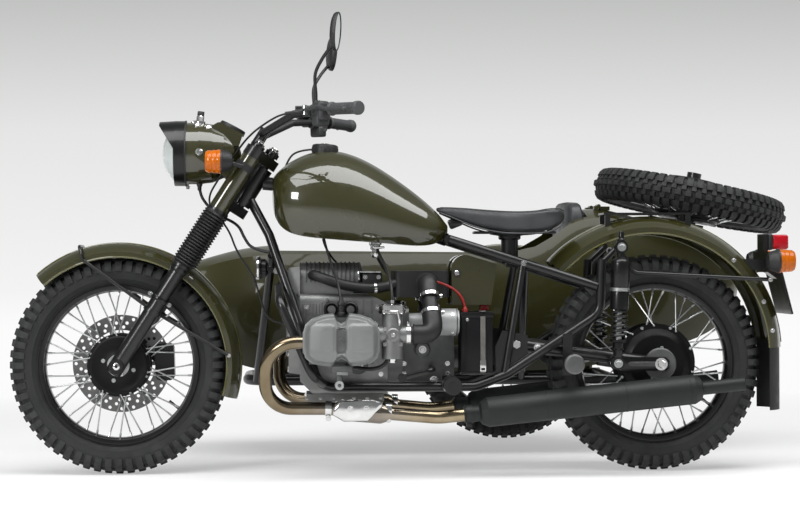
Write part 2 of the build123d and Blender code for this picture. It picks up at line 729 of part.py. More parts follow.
# Engine
def crankcase():
    case = side_plate(
        [(CASE_FRONT, CASE_BOTTOM + 40), (CASE_FRONT + 40, CASE_BOTTOM), (CASE_REAR, CASE_BOTTOM),
         (CASE_REAR, CASE_TOP - 30), (CASE_REAR - 60, CASE_TOP), (CASE_FRONT, CASE_TOP)],
        -CASE_HALF, CASE_HALF,
    )
    case = fillet(case.edges().filter_by(Axis.X), 22)
    timing = extrude(
        Plane(origin=(CASE_FRONT, 0, 0), x_dir=(0, -1, 0), z_dir=(-1, 0, 0)) * make_face(
            Polyline((-92, 300), (92, 300), (98, 400), (58, 620), (-58, 620), (-98, 400), close=True)
        ),
        amount=CASE_FRONT - TIMING_FRONT,
        taper=6,
    )
    sump = block(CASE_FRONT + 20, CASE_REAR - 10, -88, 88, CASE_BOTTOM - 22, CASE_BOTTOM)
    for i in range(5):
        x = CASE_FRONT + 50 + i * 42
        sump += block(x, x + 12, -88, 88, CASE_BOTTOM - 30, CASE_BOTTOM - 22)
    generator = rod((CASE_FRONT, 0, 582), (CASE_FRONT + 180, 0, 582), 50.0)
    saddle_block = block(CASE_FRONT, CASE_REAR - 100, -52, 52, CASE_TOP - 5, 582)
    return case + timing + sump + generator + saddle_block


def cylinder_x(side):
    return LEFT_CYLINDER_X if side < 0 else RIGHT_CYLINDER_X


PANEL_RISE = 4.0
PUSHROD_X = 27.0
PUSHROD_Z = 86.0


def cylinders():
    """Finned barrel and head on each side, with the pushrod tubes above it."""
    def cylinder(side):
        x = cylinder_x(side)
        out = Plane(origin=(x, 0, CRANK_Z), x_dir=(1, 0, 0), z_dir=(0, side, 0))
        foot = CASE_HALF + SEAT_GAP
        pitch = (BARREL_OUT - foot - 12) / FINS
        body = out * (Pos(0, 0, (foot + BARREL_OUT) / 2) * Cylinder(BARREL_R, BARREL_OUT - foot))
        for i in range(FINS):
            body += out * (Pos(0, 0, foot + 12 + i * pitch) * Cylinder(FIN_R, FIN_THICK))
        head = out * (Pos(0, 0, (BARREL_OUT + HEAD_OUT) / 2) * Box(164, 128, HEAD_OUT - BARREL_OUT))
        head = fillet(head.edges().filter_by(Axis.Y), 30)
        body += head
        for i in range(4):
            level = BARREL_OUT + 6 + i * 13
            body += out * (Pos(0, 0, level) * Box(186, 142, FIN_THICK))
        for dx in (-PUSHROD_X, PUSHROD_X):
            high, end = CRANK_Z + PUSHROD_Z, side * (HEAD_OUT - 10)
            body += rod((x + dx, side * foot, high), (x + dx, end, high), 11.0)
            body += block(x + dx - 8, x + dx + 8, *sorted((side * (BARREL_OUT + 2), end)), CRANK_Z + 55, high)
        port_y = side * (HEAD_OUT - 28)
        body += rod((x - 70, port_y, CRANK_Z - 8), (x - 108, port_y, CRANK_Z - 8), PIPE_R + 6)
        body += rod((x + 70, port_y, CRANK_Z + 14), (x + 104, port_y, CRANK_Z + 14), 24.0)
        return body

    return pair(cylinder)


def rocker_covers():
    """Bowed covers with two raised panels, notched for the plug and waisted in the middle."""
    def cover(side):
        x = cylinder_x(side)
        out = Plane(origin=(x, side * (HEAD_OUT + SEAT_GAP), CRANK_Z), x_dir=(1, 0, 0), z_dir=(0, side, 0))
        high = ROCKER_HIGH / 2
        outline = RectangleRounded(ROCKER_LEN, ROCKER_HIGH, high * 0.55)
        for notch in BOTH:
            outline -= Pos(0, notch * (high + 8)) * Circle(24.0)
        flange = extrude(outline, amount=14)
        depth = COVER_OUT - HEAD_OUT - SEAT_GAP
        crest = depth - PANEL_RISE
        dome = extrude(Pos(0, 0, 14) * outline, amount=crest - 14, taper=22)
        up = 6.0 * (out.y_dir.Z)
        for wing in BOTH:
            panel = Pos(wing * ROCKER_LEN * 0.26, up, crest) * RectangleRounded(68, 76, 10)
            dome += extrude(panel, amount=PANEL_RISE, taper=20)
        pocket = extrude(Pos(0, 0, crest - 8) * RectangleRounded(30, 72, 10), amount=16)
        return out * (flange + dome - pocket)

    return pair(cover)


CARB_X = 806.0
CARB_Z = CRANK_Z + 14.0
CARB_TOP = CARB_Z + 84.0


def carburettors():
    """One carburettor behind each head: float bowl, body, diaphragm top."""
    def carb(side):
        x = CARB_X + (cylinder_x(side) - LEFT_CYLINDER_X)
        y = side * (HEAD_OUT - 28)
        start = cylinder_x(side) + 104 + SEAT_GAP
        body = rod((start, y, CARB_Z), (x + 50, y, CARB_Z), 25.0)
        body += rod((x, y, CARB_Z - 70), (x, y, CARB_Z), 31.0)
        body += rod((x, y, CARB_Z), (x, y, CARB_Z + 64), 30.0)
        body += rod((x, y, CARB_Z + 64), (x, y, CARB_TOP), 38.0)
        return body

    return pair(carb)


AIR_BOX = (790.0, 985.0, 528.0, 607.0)
AIR_BOX_HALF = 112.0


def air_intake():
    """Air box over the gearbox with an elbow to each carburettor."""
    x0, x1, z0, z1 = AIR_BOX
    box = block(x0 + 30, x1, -AIR_BOX_HALF, AIR_BOX_HALF, z0, z1)
    box = fillet(box.edges().filter_by(Axis.Z), 18)
    for side in BOTH:
        shift = cylinder_x(side) - LEFT_CYLINDER_X
        y = side * (HEAD_OUT - 28)
        end = (CARB_X + shift + 50 + SEAT_GAP, y, CARB_Z)
        box += tube(
            [(915, side * 100, 572), (915, side * 190, 572), (end[0] + 70, y, CARB_Z), end],
            23.0, [30, 30],
        )
    return box


def gearbox():
    """Bell housing and gear case bolted to the back of the engine."""
    bell = rod((CASE_REAR + SEAT_GAP, 0, 385), (CASE_REAR + 44, 0, 385), 132.0)
    case = block(CASE_REAR + 40, GEARBOX_REAR, -GEARBOX_HALF, GEARBOX_HALF, 256, 470)
    case = fillet(case.edges().filter_by(Axis.X), 26)
    boss = block(CASE_REAR + 20, CASE_REAR + 60, -172, 0, 412, 498)
    boss = fillet(boss.edges().filter_by(Axis.X), 18)
    shaft = rod((GEARBOX_REAR, 52, 345), (GEARBOX_REAR + 60, 52, 345), 34.0)
    return bell + case + boss + shaft


STARTER = (130.0, 455.0)


def starter_motor():
    y, z = STARTER
    start = CASE_REAR + 60 + SEAT_GAP
    body = rod((start, -y, z), (start + 45, -y, z), 27.0)
    body += rod((start + 45, -y, z), (start + 146, -y, z), 40.0)
    body += rod((start + 146, -y, z), (start + 150, -y, z), 34.0)
    return body


# Exhaust
def port_y(side):
    return side * (HEAD_OUT - 28)


def exhaust_pipes():
    """Header looped forwards and down from each head, with its heat shield box."""
    def header(side):
        x = cylinder_x(side) - LEFT_CYLINDER_X
        start = cylinder_x(side) - 108 - SEAT_GAP
        z = CRANK_Z - 8
        end = silencer_point(side, -45 - SEAT_GAP)
        low = (620 + x, side * PIPE_Y, 205)
        join = silencer_point(side, -120)
        loop = [
            (start, port_y(side), z), (439 + x, port_y(side), z), (439 + x, side * 226, 209), low, join, end,
        ]
        pipe = tube(loop, PIPE_R, [PIPE_TURN, PIPE_TURN * 0.9, 120, 200])
        run = (Vector(*join) - Vector(*low)).normalized()
        axis = Plane(origin=Vector(*low) + run * 20, z_dir=run)
        fat = PIPE_R + 13
        box = turned([(0, 0), (PIPE_R, 0), (fat, 34), (fat, 138), (PIPE_R, 172), (0, 172)], axis)
        return pipe + box

    return pair(header)


def silencer_point(side, along):
    """Point on the silencer's axis, at a distance behind its front end."""
    dx = SILENCER_REAR[0] - SILENCER_FRONT[0]
    dz = SILENCER_REAR[1] - SILENCER_FRONT[1]
    length = hypot(dx, dz)
    return (SILENCER_FRONT[0] + dx * along / length, side * PIPE_Y, SILENCER_FRONT[1] + dz * along / length)


def silencers():
    def silencer(side):
        length = hypot(SILENCER_REAR[0] - SILENCER_FRONT[0], SILENCER_REAR[1] - SILENCER_FRONT[1])
        front, rear = Vector(*silencer_point(side, 0)), Vector(*silencer_point(side, length))
        axis = Plane(origin=front, z_dir=rear - front)
        r = SILENCER_R
        return turned(
            [
                (0, -45), (PIPE_R + 5, -45), (PIPE_R + 5, 0), (r - 10, 6), (r, 26),
                (r, length - 26), (r - 10, length - 6), (TAIL_R, length), (TAIL_R, length + TAIL_LEN),
                (TAIL_R - 3, length + TAIL_LEN), (TAIL_R - 3, length), (0, length),
            ],
            axis,
        )

    return pair(silencer)


# Tank, saddle and side pieces.  Columns: x, then the columns of hull_section.
TANK = [
    (458, 26, 50, 30, 816, 847, 877, 885),
    (490, 85, 112, 67, 745, 831, 895, 917),
    (560, 115, 148, 95, 708, 815, 925, 958),
    (650, 120, 152, 95, 700, 805, 930, 970),
    (780, 105, 132, 80, 690, 780, 880, 915),
    (900, 75, 95, 55, 682, 750, 812, 832),
    (985, 28, 36, 22, 722, 733, 742, 746),
]
SADDLE = [
    (960, 20, 28, 18, 791, 795, 798, 800),
    (1030, 58, 72, 55, 750, 774, 795, 801),
    (1150, 110, 132, 100, 718, 755, 785, 790),
    (1260, 128, 152, 120, 716, 755, 790, 795),
    (1332, 90, 115, 90, 738, 762, 782, 786),
]
FILLER_X = 616.0
TUNNEL_R = 26.0


def fuel_tank():
    shell = hull(TANK)
    crown = Vector(*at_fork(YOKE_OFFSET + HEAD_TUBE_R - 6, 0, 690))
    tunnel = tube([crown, (crown.X + 90, 0, crown.Z - 8), (RAIL_FRONT[0], 0, RAIL_FRONT[2])], TUNNEL_R, 60.0)
    cap = rod((FILLER_X, 0, 955), (FILLER_X, 0, 984), 34.0)
    rails = rod((RAIL_FRONT[0], -130, RAIL_FRONT[2]), (RAIL_FRONT[0], 130, RAIL_FRONT[2]), TUBE_R + SEAT_GAP)
    return shell + cap - tunnel - rails


def saddle():
    return hull(SADDLE)


def battery():
    """Battery in its strapped tray on the left, against the frame's seat strut."""
    x0, x1 = 1016.0, 1110.0
    box = block(x0, x1, -152, -30, 306, 470)
    lid = block(x0 - 3, x1 + 2, -154, -28, 470, 484)
    tray = block(x0 - 3, x1 + 2, -154, -28, 300, 306)
    return box + lid + tray


def side_covers():
    """Rounded tool and filter covers below the saddle."""
    def cover(side):
        face = make_face(
            [
                Line((992, 0, 505), (992, 0, 610)),
                ThreePointArc((992, 0, 610), (1004, 0, 642), (1036, 0, 654)),
                Line((1036, 0, 654), (1085, 0, 640)),
                Line((1085, 0, 640), (1128, 0, 626)),
                Line((1128, 0, 626), (1110, 0, 505)),
                Line((1110, 0, 505), (992, 0, 505)),
            ]
        )
        depth = 58.0
        return extrude(Pos(0, side * 40, 0) * face, amount=depth, dir=(0, side, 0))

    return pair(cover)


# Rear end
REAR_FENDER_TAIL = 2.0
REAR_FENDER_NOSE = 138.0


def rear_fender():
    return fender(
        REAR_FENDER_R, REAR_FENDER_HALF, REAR_FENDER_SKIRT, REAR_FENDER_AT, REAR_FENDER_TAIL, REAR_FENDER_NOSE
    )


def rear_fender_space():
    """Everything inside the rear fender, used to trim what stands on it."""
    x, z = REAR_FENDER_AT
    radius = REAR_FENDER_R + SEAT_GAP
    shoulder = REAR_FENDER_R - REAR_FENDER_SKIRT * 0.65 + SEAT_GAP
    half = REAR_FENDER_HALF + SEAT_GAP
    section = make_face(
        [
            Line((-half, 1), (-half, shoulder)),
            ThreePointArc((-half, shoulder), (0, radius), (half, shoulder)),
            Line((half, shoulder), (half, 1)),
            Line((half, 1), (-half, 1)),
        ]
    )
    start = Plane(origin=(x, 0, z), x_dir=(0, 1, 0), z_dir=(0, 0, -1))
    return revolve(start * section, axis=Axis((x, 0, z), (0, -1, 0)), revolution_arc=150.0)


CARRIER_HOLE_R = 4.5
CARRIER_HOLES = (210.0, 70.0)
CARRIER = (1456.0, 1725.0, 55.0, 781.0)


def rear_carrier():
    """Flat carrier standing on the rear fender."""
    x0, x1, half, top = CARRIER
    plate = block(x0, x1, -half, half, top - 6, top)
    middle = (x0 + x1) / 2
    dx, dy = CARRIER_HOLES[0] / 2, CARRIER_HOLES[1] / 2
    for hx in (middle - dx, middle + dx):
        for hy in (-dy, dy):
            plate -= Pos(hx, hy, top) * Cylinder(CARRIER_HOLE_R, 40)
    for side in BOTH:
        plate -= block(x0 + 60, x1 - 60, *sorted((side * 14, side * 28)), top - 20, top + 20)
    body = plate
    for side in BOTH:
        for x in (x0 + 12, x1 - 12):
            body += block(x - 8, x + 8, *sorted((side * (half - 6), side * half)), top - 90, top - 3)
    return body - rear_fender_space()


def rear_stays():
    """Side stays of the rear fender, from the shock mounts to the lamp bracket."""
    def stay(side):
        y = side * (REAR_FENDER_HALF + 12)
        return tube([(1500, y, 668), (1536, y, 600), (1950, y, 578)], 6.0, 30.0)

    return pair(stay)


LAMP_BRACKET_X = 1946.0
PLATE_TOP = (1986.0, 597.0)
PLATE_LOW = (2018.0, 473.0)
PLATE_HALF = 100.0


def rear_lamp_bracket():
    """Bracket behind the fender for the lamps, with the blank number plate below them."""
    body = block(LAMP_BRACKET_X, LAMP_BRACKET_X + 14, -96, 96, 608, 662)
    body += block(LAMP_BRACKET_X, LAMP_BRACKET_X + 14, -40, 40, 600, 716)
    arms = block(1820, LAMP_BRACKET_X + 4, -60, 60, 606, 640) - block(1800, LAMP_BRACKET_X, -44, 44, 600, 650)
    body += arms - rear_fender_space()
    plate = side_plate(
        [PLATE_TOP, (PLATE_TOP[0] + 5, PLATE_TOP[1] + 2), (PLATE_LOW[0] + 5, PLATE_LOW[1] + 2), PLATE_LOW],
        -PLATE_HALF, PLATE_HALF,
    )
    reach = PLATE_TOP[0] + 4
    holder = side_plate(
        [(LAMP_BRACKET_X, 612), (LAMP_BRACKET_X + 14, 640), (reach, 596), (reach, 580)], -30, 30
    )
    return body + plate + holder


def rear_lamps():
    """Tail lamp in the middle and a round indicator at each side."""
    face = LAMP_BRACKET_X + 14 + SEAT_GAP
    tail = block(face, face + 62, -46, 46, 668, 715)
    tail = fillet(tail.edges().filter_by(Axis.X), 14)
    lamps = [tail]
    for side in BOTH:
        y = 136.0
        lamp = indicator(side, 2019.0, y, 634.0, 1)
        lamp += rod((LAMP_BRACKET_X + 7, side * y, 634), (LAMP_BRACKET_X + 7, side * (96 + SEAT_GAP), 634), 8.0)
        lamps.append(lamp)
    return Compound(children=[solid for lamp in lamps for solid in lamp.solids()])


FLAP_LOW = 184.0


def mud_flap():
    """Curved rubber flap hung inside the tail of the rear fender."""
    x, z = REAR_FENDER_AT
    top = z + 32.0
    inside = REAR_FENDER_R - SHEET
    crown = x + (inside ** 2 - 32.0 ** 2) ** 0.5 - SEAT_GAP
    half = REAR_FENDER_HALF - SHEET - 6.0
    wing = crown - 44.0
    face = make_face(
        [
            ThreePointArc((wing, -half), (crown, 0), (wing, half)),
            Line((wing, half), (wing - 4, half)),
            ThreePointArc((wing - 4, half), (crown - 4, 0), (wing - 4, -half)),
            Line((wing - 4, -half), (wing, -half)),
        ]
    )
    return extrude(Pos(0, 0, FLAP_LOW) * face, amount=top - FLAP_LOW, dir=(0, 0, 1))


ARM_Y = 104.0
ARM_R = 20.0
DRIVE_R = 92.0
DRIVE_OUT = PIPE_Y - SILENCER_R - 6.0


def swing_arm():
    """Rear fork with the axle, brake plate side on the left and the final drive on the right."""
    x, z = PIVOT
    body = rod((REAR_AXLE_X, -142, TYRE_R), (REAR_AXLE_X, 160, TYRE_R), AXLE_R)
    for side in BOTH:
        y = side * ARM_Y
        body += rod((x, y, z), (REAR_AXLE_X, y, TYRE_R), ARM_R)
        body += rod((x, side * (ARM_Y - 22), z), (x, side * (ARM_Y + 16), z), 26.0)
        near, far = side * (ARM_Y - 18), side * (ARM_Y + 20)
        body += rod((REAR_AXLE_X, near, TYRE_R), (REAR_AXLE_X, far, TYRE_R), 32.0)
        pin_x, pin_z = SHOCK_LOW
        body += rod((pin_x, side * ARM_Y, pin_z + 8), (pin_x, side * (ARM_Y + 30), pin_z), 18.0)
        body += rod((pin_x, side * (ARM_Y + 20), pin_z), (pin_x, side * (SHOCK_Y + 18), pin_z), PIN_R)
    body += rod((1246, -ARM_Y, 378), (1246, ARM_Y, 378), 15.0)
    drive = rod((REAR_AXLE_X, 82, TYRE_R), (REAR_AXLE_X, DRIVE_OUT, TYRE_R), DRIVE_R)
    drive += rod((REAR_AXLE_X - 150, ARM_Y + 4, 348), (REAR_AXLE_X - 60, ARM_Y + 6, 334), 36.0)
    body += drive
    return body - rod((x, -200, z), (x, 200, z), 16.0 + SEAT_GAP)


def shock_absorbers():
    """Covered rear shock on each side, with a spring and an eye at each end."""
    def shock(side):
        top = Vector(SHOCK_TOP[0], side * SHOCK_Y, SHOCK_TOP[1])
        low = Vector(SHOCK_LOW[0], side * SHOCK_Y, SHOCK_LOW[1])
        length = (top - low).length
        axis = Plane(origin=low, x_dir=(0, 1, 0), z_dir=top - low)
        body = turned(
            [(0, 0), (12, 0), (12, 62), (25, 66), (25, 156), (29, 160), (29, 200), (26, length - 36),
             (26, length - 34), (12, length - 26), (12, length), (0, length)],
            axis,
        )
        for eye in (top, low):
            body += rod((eye.X, eye.Y - 13, eye.Z), (eye.X, eye.Y + 13, eye.Z), 19.0)
        for eye in (top, low):
            body -= rod((eye.X, eye.Y - 40, eye.Z), (eye.X, eye.Y + 40, eye.Z), PIN_R + SEAT_GAP)
        return body

    return pair(shock)


RIDER_PEG = (978.0, 276.0)
PILLION_PEG = (1331.0, 337.0)


def foot_rests():
    """Rider and pillion pegs with the hangers that also hold the silencers."""
    def rests(side):
        x, z = RIDER_PEG
        inner = CRADLE_HALF + TUBE_R + SEAT_GAP
        peg = rod((x, side * inner, z), (x, side * 332, z), 11.0)
        peg += rod((x, side * 228, z), (x, side * 328, z), 26.0)
        peg += block(x - 20, x + 20, *sorted((side * inner, side * (inner + 8))), z - 22, z + 22)
        px, pz = PILLION_PEG
        hanger = block(px - 14, px + 14, *sorted((side * inner, side * (inner + 6))), pz - 40, 420)
        hanger += rod((px, side * inner, pz), (px, side * 300, pz), 10.0)
        hanger += rod((px, side * 205, pz), (px, side * 298, pz), 18.0)
        return Compound(children=[*peg.solids(), *hanger.solids()])

    return pair(rests)


def foot_controls():
    """Gear pedal on the left and brake pedal on the right."""
    gear = tube([(930, -GEARBOX_HALF - SEAT_GAP, 318), (930, -214, 318), (836, -222, 296)], 8.0, 24.0)
    gear += rod((836, -208, 296), (836, -262, 296), 12.0)
    brake = tube(
        [(1014, CRADLE_HALF + TUBE_R + SEAT_GAP, 268), (1014, 202, 268), (1004, 216, 312), (852, 222, 304)],
        8.0, [14, 14],
    )
    brake += rod((852, 208, 304), (852, 262, 304), 13.0)
    return Compound(children=[*gear.solids(), *brake.solids()])


# Sidecar.  Columns: x, then the columns of hull_section about the sidecar's middle.
SIDECAR = [
    (118, 18, 32, 18, 478, 520, 556, 566),
    (200, 84, 132, 96, 384, 500, 606, 634),
    (330, 150, 212, 164, 304, 480, 646, 676),
    (520, 190, 262, 214, 276, 470, 660, 694),
    (900, 205, 270, 224, 276, 470, 660, 696),
    (1240, 205, 270, 224, 278, 470, 664, 700),
    (1400, 204, 270, 220, 284, 490, 745, 778),
    (1500, 198, 266, 214, 294, 510, 782, 816),
    (1560, 191, 259, 207, 306, 516, 772, 805),
    (1700, 174, 240, 188, 336, 530, 746, 777),
    (1900, 130, 190, 144, 402, 550, 706, 732),
    (2004, 50, 92, 62, 500, 590, 664, 678),
]
RIM_LINE = [
    (COCKPIT_FRONT, 672), (1225, 664), (1310, 684), (1380, 724), (1440, 776), (1482, 806),
]
SIDECAR_TAIL = SIDECAR[-1][0]
SIDECAR_SECTIONS = 17
PLINTH = (960.0, BULKHEAD_X - 2.0, 185.0, 362.0)


def sidecar_hull(inset=0.0):
    """Outside of the sidecar, or a copy of it set in from the sides by a distance."""
    return hull(SIDECAR, SIDECAR_Y, inset, SIDECAR_SECTIONS)


def sidecar_shell():
    """Outer body less its inside, still closed on top."""
    outer = sidecar_hull()
    inner = sidecar_hull(WALL)
    nose = SIDECAR[0][0] + WALL
    front = block(nose, BULKHEAD_X, 0, 2 * SIDECAR_Y, 0, 1000)
    rear = block(BULKHEAD_X + 6, SIDECAR_TAIL - WALL, 0, 2 * SIDECAR_Y, 0, 1000)
    return outer - (inner & front) - (inner & rear)


def hinge_line(shell):
    """Height of the boot lid's hinge, just over the deck at the front of its opening."""
    slot = block(BOOT_FRONT - HINGE_R, BOOT_FRONT + HINGE_R, 0, 2 * SIDECAR_Y, 600, 1000)
    return (shell & slot).bounding_box().max.Z + HINGE_R + 1.0


def hinge_barrels(shell, spans):
    """Hinge barrels on the lid's axis, over the given distances either side of the middle."""
    barrels = []
    height = hinge_line(shell)
    for side in BOTH:
        for near, far in spans:
            ends = [(BOOT_FRONT, SIDECAR_Y + side * d, height) for d in (near, far)]
            barrels.append(rod(*ends, HINGE_R))
    return barrels


def sidecar_body(shell):
    cut = side_plate([(COCKPIT_FRONT, 1000)] + RIM_LINE + [(RIM_LINE[-1][0], 1000)], 0, 2 * SIDECAR_Y)
    x0, x1, half, top = PLINTH
    seat = block(x0, x1, SIDECAR_Y - half, SIDECAR_Y + half, SIDECAR[4][4] + 2, top)
    opening = block(BOOT_FRONT, BOOT_REAR, SIDECAR_Y - BOOT_HALF, SIDECAR_Y + BOOT_HALF, 640, 1000)
    well = block(1390, RIM_LINE[-1][0], SIDECAR_Y - half - 8, SIDECAR_Y + half + 8, 500, 1000)
    body = shell - cut - well - opening + seat
    for barrel in hinge_barrels(shell, [(86, 110)]):
        body += barrel
        middle = barrel.center()
        body += block(middle.X - 16, middle.X - 2, middle.Y - 12, middle.Y + 12, middle.Z - 24, middle.Z)
    return body


def boot_lid(shell):
    """Lid cut from the rear deck, with its half of the hinges and the carrier's foot plate."""
    gap = LID_GAP
    left, right = SIDECAR_Y - BOOT_HALF + gap, SIDECAR_Y + BOOT_HALF - gap
    keep = block(BOOT_FRONT + gap, BOOT_REAR - gap, left, right, 640, 1000)
    lid = shell & keep
    for barrel in hinge_barrels(shell, [(58, 85)]):
        middle = barrel.center()
        strap = block(middle.X + 3, middle.X + 40, middle.Y - 13, middle.Y + 13, middle.Z - 14, middle.Z - 1)
        lid += barrel + strap
    return lid


SPARE = Plane(
    origin=(SPARE_AT[0], SIDECAR_Y, SPARE_AT[1]),
    x_dir=(cos(radians(SPARE_TILT)), 0, -sin(radians(SPARE_TILT))),
    z_dir=(sin(radians(SPARE_TILT)), 0, cos(radians(SPARE_TILT))),
)


def spare_carrier():
    """Post and cross bars on the lid that hold the spare wheel by its hub."""
    post = rod((0, 0, -150), (0, 0, -67), 30.0) + rod((0, 0, -80), (0, 0, 90), AXLE_R)
    post += rod((0, 0, 75), (0, 0, 96), 24.0)
    bars = Pos(-32, 0, -78) * Box(186, 34, 8) + Pos(0, 0, -78) * Box(34, 198, 8)
    for dx, dy in ((-112, 0), (48, 0), (0, -86), (0, 86)):
        bars += rod((dx, dy, -150), (dx, dy, -76), 12.0)
    body = SPARE * (post + bars)
    return body - sidecar_hull(-2 * SEAT_GAP)


def sidecar_seat_cushion():
    x0, x1, half, top = PLINTH
    pad = block(x0 - 20, 1396, SIDECAR_Y - half - 5, SIDECAR_Y + half + 5, top + SEAT_GAP, top + 110)
    return fillet(pad.edges().filter_by(Axis.Z), 40)


def sidecar_seat_back():
    top = PLINTH[3] + SEAT_GAP
    half = PLINTH[2]
    pad = side_plate([(1400, top), (1474, top), (1476, 836), (1416, 836)], SIDECAR_Y - half, SIDECAR_Y + half)
    return pad


FRAME_NEAR = SIDECAR_Y - 190.0
FRAME_FAR = SIDECAR_Y + 190.0
ARM_PIVOT = (1000.0, 300.0)
SIDE_SHOCK = (1300.0, FRAME_FAR + 145.0, 612.0)
PIVOT_Y = FRAME_FAR + 112.0
STAY_FEET = (940.0, 1540.0)


def sidecar_frame():
    """Ladder frame under the sidecar, its struts to the motorcycle and the shock post."""
    z = SIDECAR_FRAME_Z
    near, far = FRAME_NEAR, FRAME_FAR
    r = SIDECAR_TUBE_R
    body = tube([(1580, near, z), (372, near, z), (372, far, z), (1580, far, z)], r, 90.0)
    for x in (720, 1000, 1290, 1566):
        body += rod((x, near, z), (x, far, z), r)
    for x in (600, 1210):
        for y in (near, far):
            body += block(x - 30, x + 30, y - 12, y + 12, z, SIDECAR[4][4] + 2.0)
    for x in STAY_FEET:
        body += block(x - 12, x + 12, far, far + r + 8, z - 14, z + 14)
    inner = CRADLE_HALF + TUBE_R + SEAT_GAP
    struts = [
        ((690, near, z), (690, inner, CRADLE_Z)),
        ((1130, near, z), (1130, inner - 2, 302)),
        ((402, near, z), (455, 92, 652)),
        ((1262, near, z), (1238, 144, 612)),
    ]
    for start, end in struts:
        body += rod(start, end, 13.0)
    px, pz = ARM_PIVOT
    body += rod((px, far, z), (px, far + 88, pz), r) + rod((px, far + 76, pz), (px, PIVOT_Y, pz), r)
    sx, sy, sz = SIDE_SHOCK
    body += tube([(1290, far, z), (1290, far + 96, z), (sx, far + 99, sz + 12)], r - 3, 30.0)
    body += rod((sx, far + 99, sz), (sx, sy + 15, sz), PIN_R)
    return body - frame_space() - sidecar_hull(-2 * SEAT_GAP)


def frame_space():
    """The motorcycle tubes that the sidecar struts are clamped to, with a little room round them."""
    gap = SEAT_GAP
    y = CRADLE_HALF
    tubes = tube(
        [(1154, y, 300), (1060, y, CRADLE_Z), (596, y, CRADLE_Z), (540, 132, 449), (448, 48, 716)],
        TUBE_R + gap, [60, 60, 40],
    )
    tubes += rod(RAIL_FRONT, RAIL_REAR, TUBE_R + gap)
    return tubes


def sidecar_suspension():
    """Trailing arm with the stub axle and brake plate, and its shock absorber."""
    px, pz = ARM_PIVOT
    start = PIVOT_Y + SEAT_GAP
    hub_y = TRACK - 118.0
    axle = (SIDECAR_AXLE_X, hub_y, TYRE_R)
    body = rod((px, start, pz), (px, start + 44, pz), 26.0)
    knee = (px + 120, start + 24, pz + 6)
    body += tube([(px, start + 22, pz), knee, axle], 18.0, 70.0)
    body += rod((SIDECAR_AXLE_X, hub_y - 34, TYRE_R), (SIDECAR_AXLE_X, hub_y + 26, TYRE_R), 30.0)
    body += rod((SIDECAR_AXLE_X, hub_y, TYRE_R), (SIDECAR_AXLE_X, TRACK + 96, TYRE_R), AXLE_R)
    top = Vector(*SIDE_SHOCK)
    low = Vector(top.X, top.Y, TYRE_R + 20)
    inner, outer = min(low.Y - 20, hub_y - 10), max(low.Y + 20, hub_y - 10)
    body += block(low.X - 22, low.X + 22, inner, outer, low.Z - 22, low.Z + 10)
    length = top.Z - low.Z
    axis = Plane(origin=low, x_dir=(1, 0, 0), z_dir=(0, 0, 1))
    body += turned(
        [(0, 0), (14, 0), (14, 40), (25, 44), (25, 120), (28, 124), (28, length - 34), (9, length - 24),
         (9, length - 8), (0, length - 8)],
        axis,
    )
    body += rod((top.X, top.Y - 12, top.Z), (top.X, top.Y + 12, top.Z), 18.0)
    return body - rod((top.X, top.Y - 60, top.Z), (top.X, top.Y + 60, top.Z), PIN_R + SEAT_GAP)


SIDECAR_FENDER_AT = (SIDECAR_AXLE_X, TYRE_R)


def sidecar_fender():
    body = fender(SIDECAR_FENDER_R, SIDECAR_FENDER_HALF, 62.0, SIDECAR_FENDER_AT, -4.0, 172.0, TRACK)
    inner = TRACK - SIDECAR_FENDER_HALF + 1.0
    foot_y = FRAME_FAR + SIDECAR_TUBE_R + 8 + SEAT_GAP
    for x, turn in zip(STAY_FEET, (157.0, 22.0)):
        edge = SIDECAR_FENDER_R - 50.0
        top = (SIDECAR_AXLE_X + edge * cos(radians(turn)), inner, TYRE_R + edge * sin(radians(turn)))
        body += tube([(x, foot_y, SIDECAR_FRAME_Z), (x, foot_y + 110, SIDECAR_FRAME_Z), top], 9.0, 40.0)
    return body


def sidecar_lamps():
    """Marker lamps on the front and rear of the sidecar fender."""
    lamps = []
    x, z = SIDECAR_FENDER_AT
    for angle in (128.0, 40.0):
        out = Vector(cos(radians(angle)), 0, sin(radians(angle)))
        foot = Vector(x, TRACK, z) + out * (SIDECAR_FENDER_R - 6)
        facing = Vector(-1 if angle > 90 else 1, 0, 0.2)
        axis = Plane(origin=foot, z_dir=out)
        body = turned([(0, 0), (24, 0), (24, 26), (16, 38), (0, 38)], axis)
        hole = fender_space(SIDECAR_FENDER_R, SIDECAR_FENDER_HALF, 62.0, SIDECAR_FENDER_AT, TRACK)
        lamps.append(body - hole)
    return Compound(children=[solid for lamp in lamps for solid in lamp.solids()])


def fender_space(radius, half, skirt, centre, y):
    """Everything inside a fender over its whole turn, used to trim what stands on it."""
    shoulder = radius - skirt * 0.65 + SEAT_GAP
    top, edge = radius + SEAT_GAP, half + SEAT_GAP
    section = make_face(
        [
            Line((-edge, 1), (-edge, shoulder)),
            ThreePointArc((-edge, shoulder), (0, top), (edge, shoulder)),
            Line((edge, shoulder), (edge, 1)),
            Line((edge, 1), (-edge, 1)),
        ]
    )
    start = Plane(origin=(centre[0], y, centre[1]), x_dir=(0, 1, 0), z_dir=(0, 0, -1))
    turn = Axis((centre[0], y, centre[1]), (0, -1, 0))
    return revolve(start * section, axis=turn, revolution_arc=180.0)


# Cables, hoses and horn.  The points of each route are chosen by hand.
CABLE_R = 3.0
LOOM_R = 4.5
HOSE_R = 4.5
LEAD_R = 3.6
HORN_R = 35.0
HORN_AT = (412.0, -38.0, 616.0)
HORN_DEEP = 34.0
LEVER_END = 5.6
LOOM_END = (450.6, -53.8, 663.0)


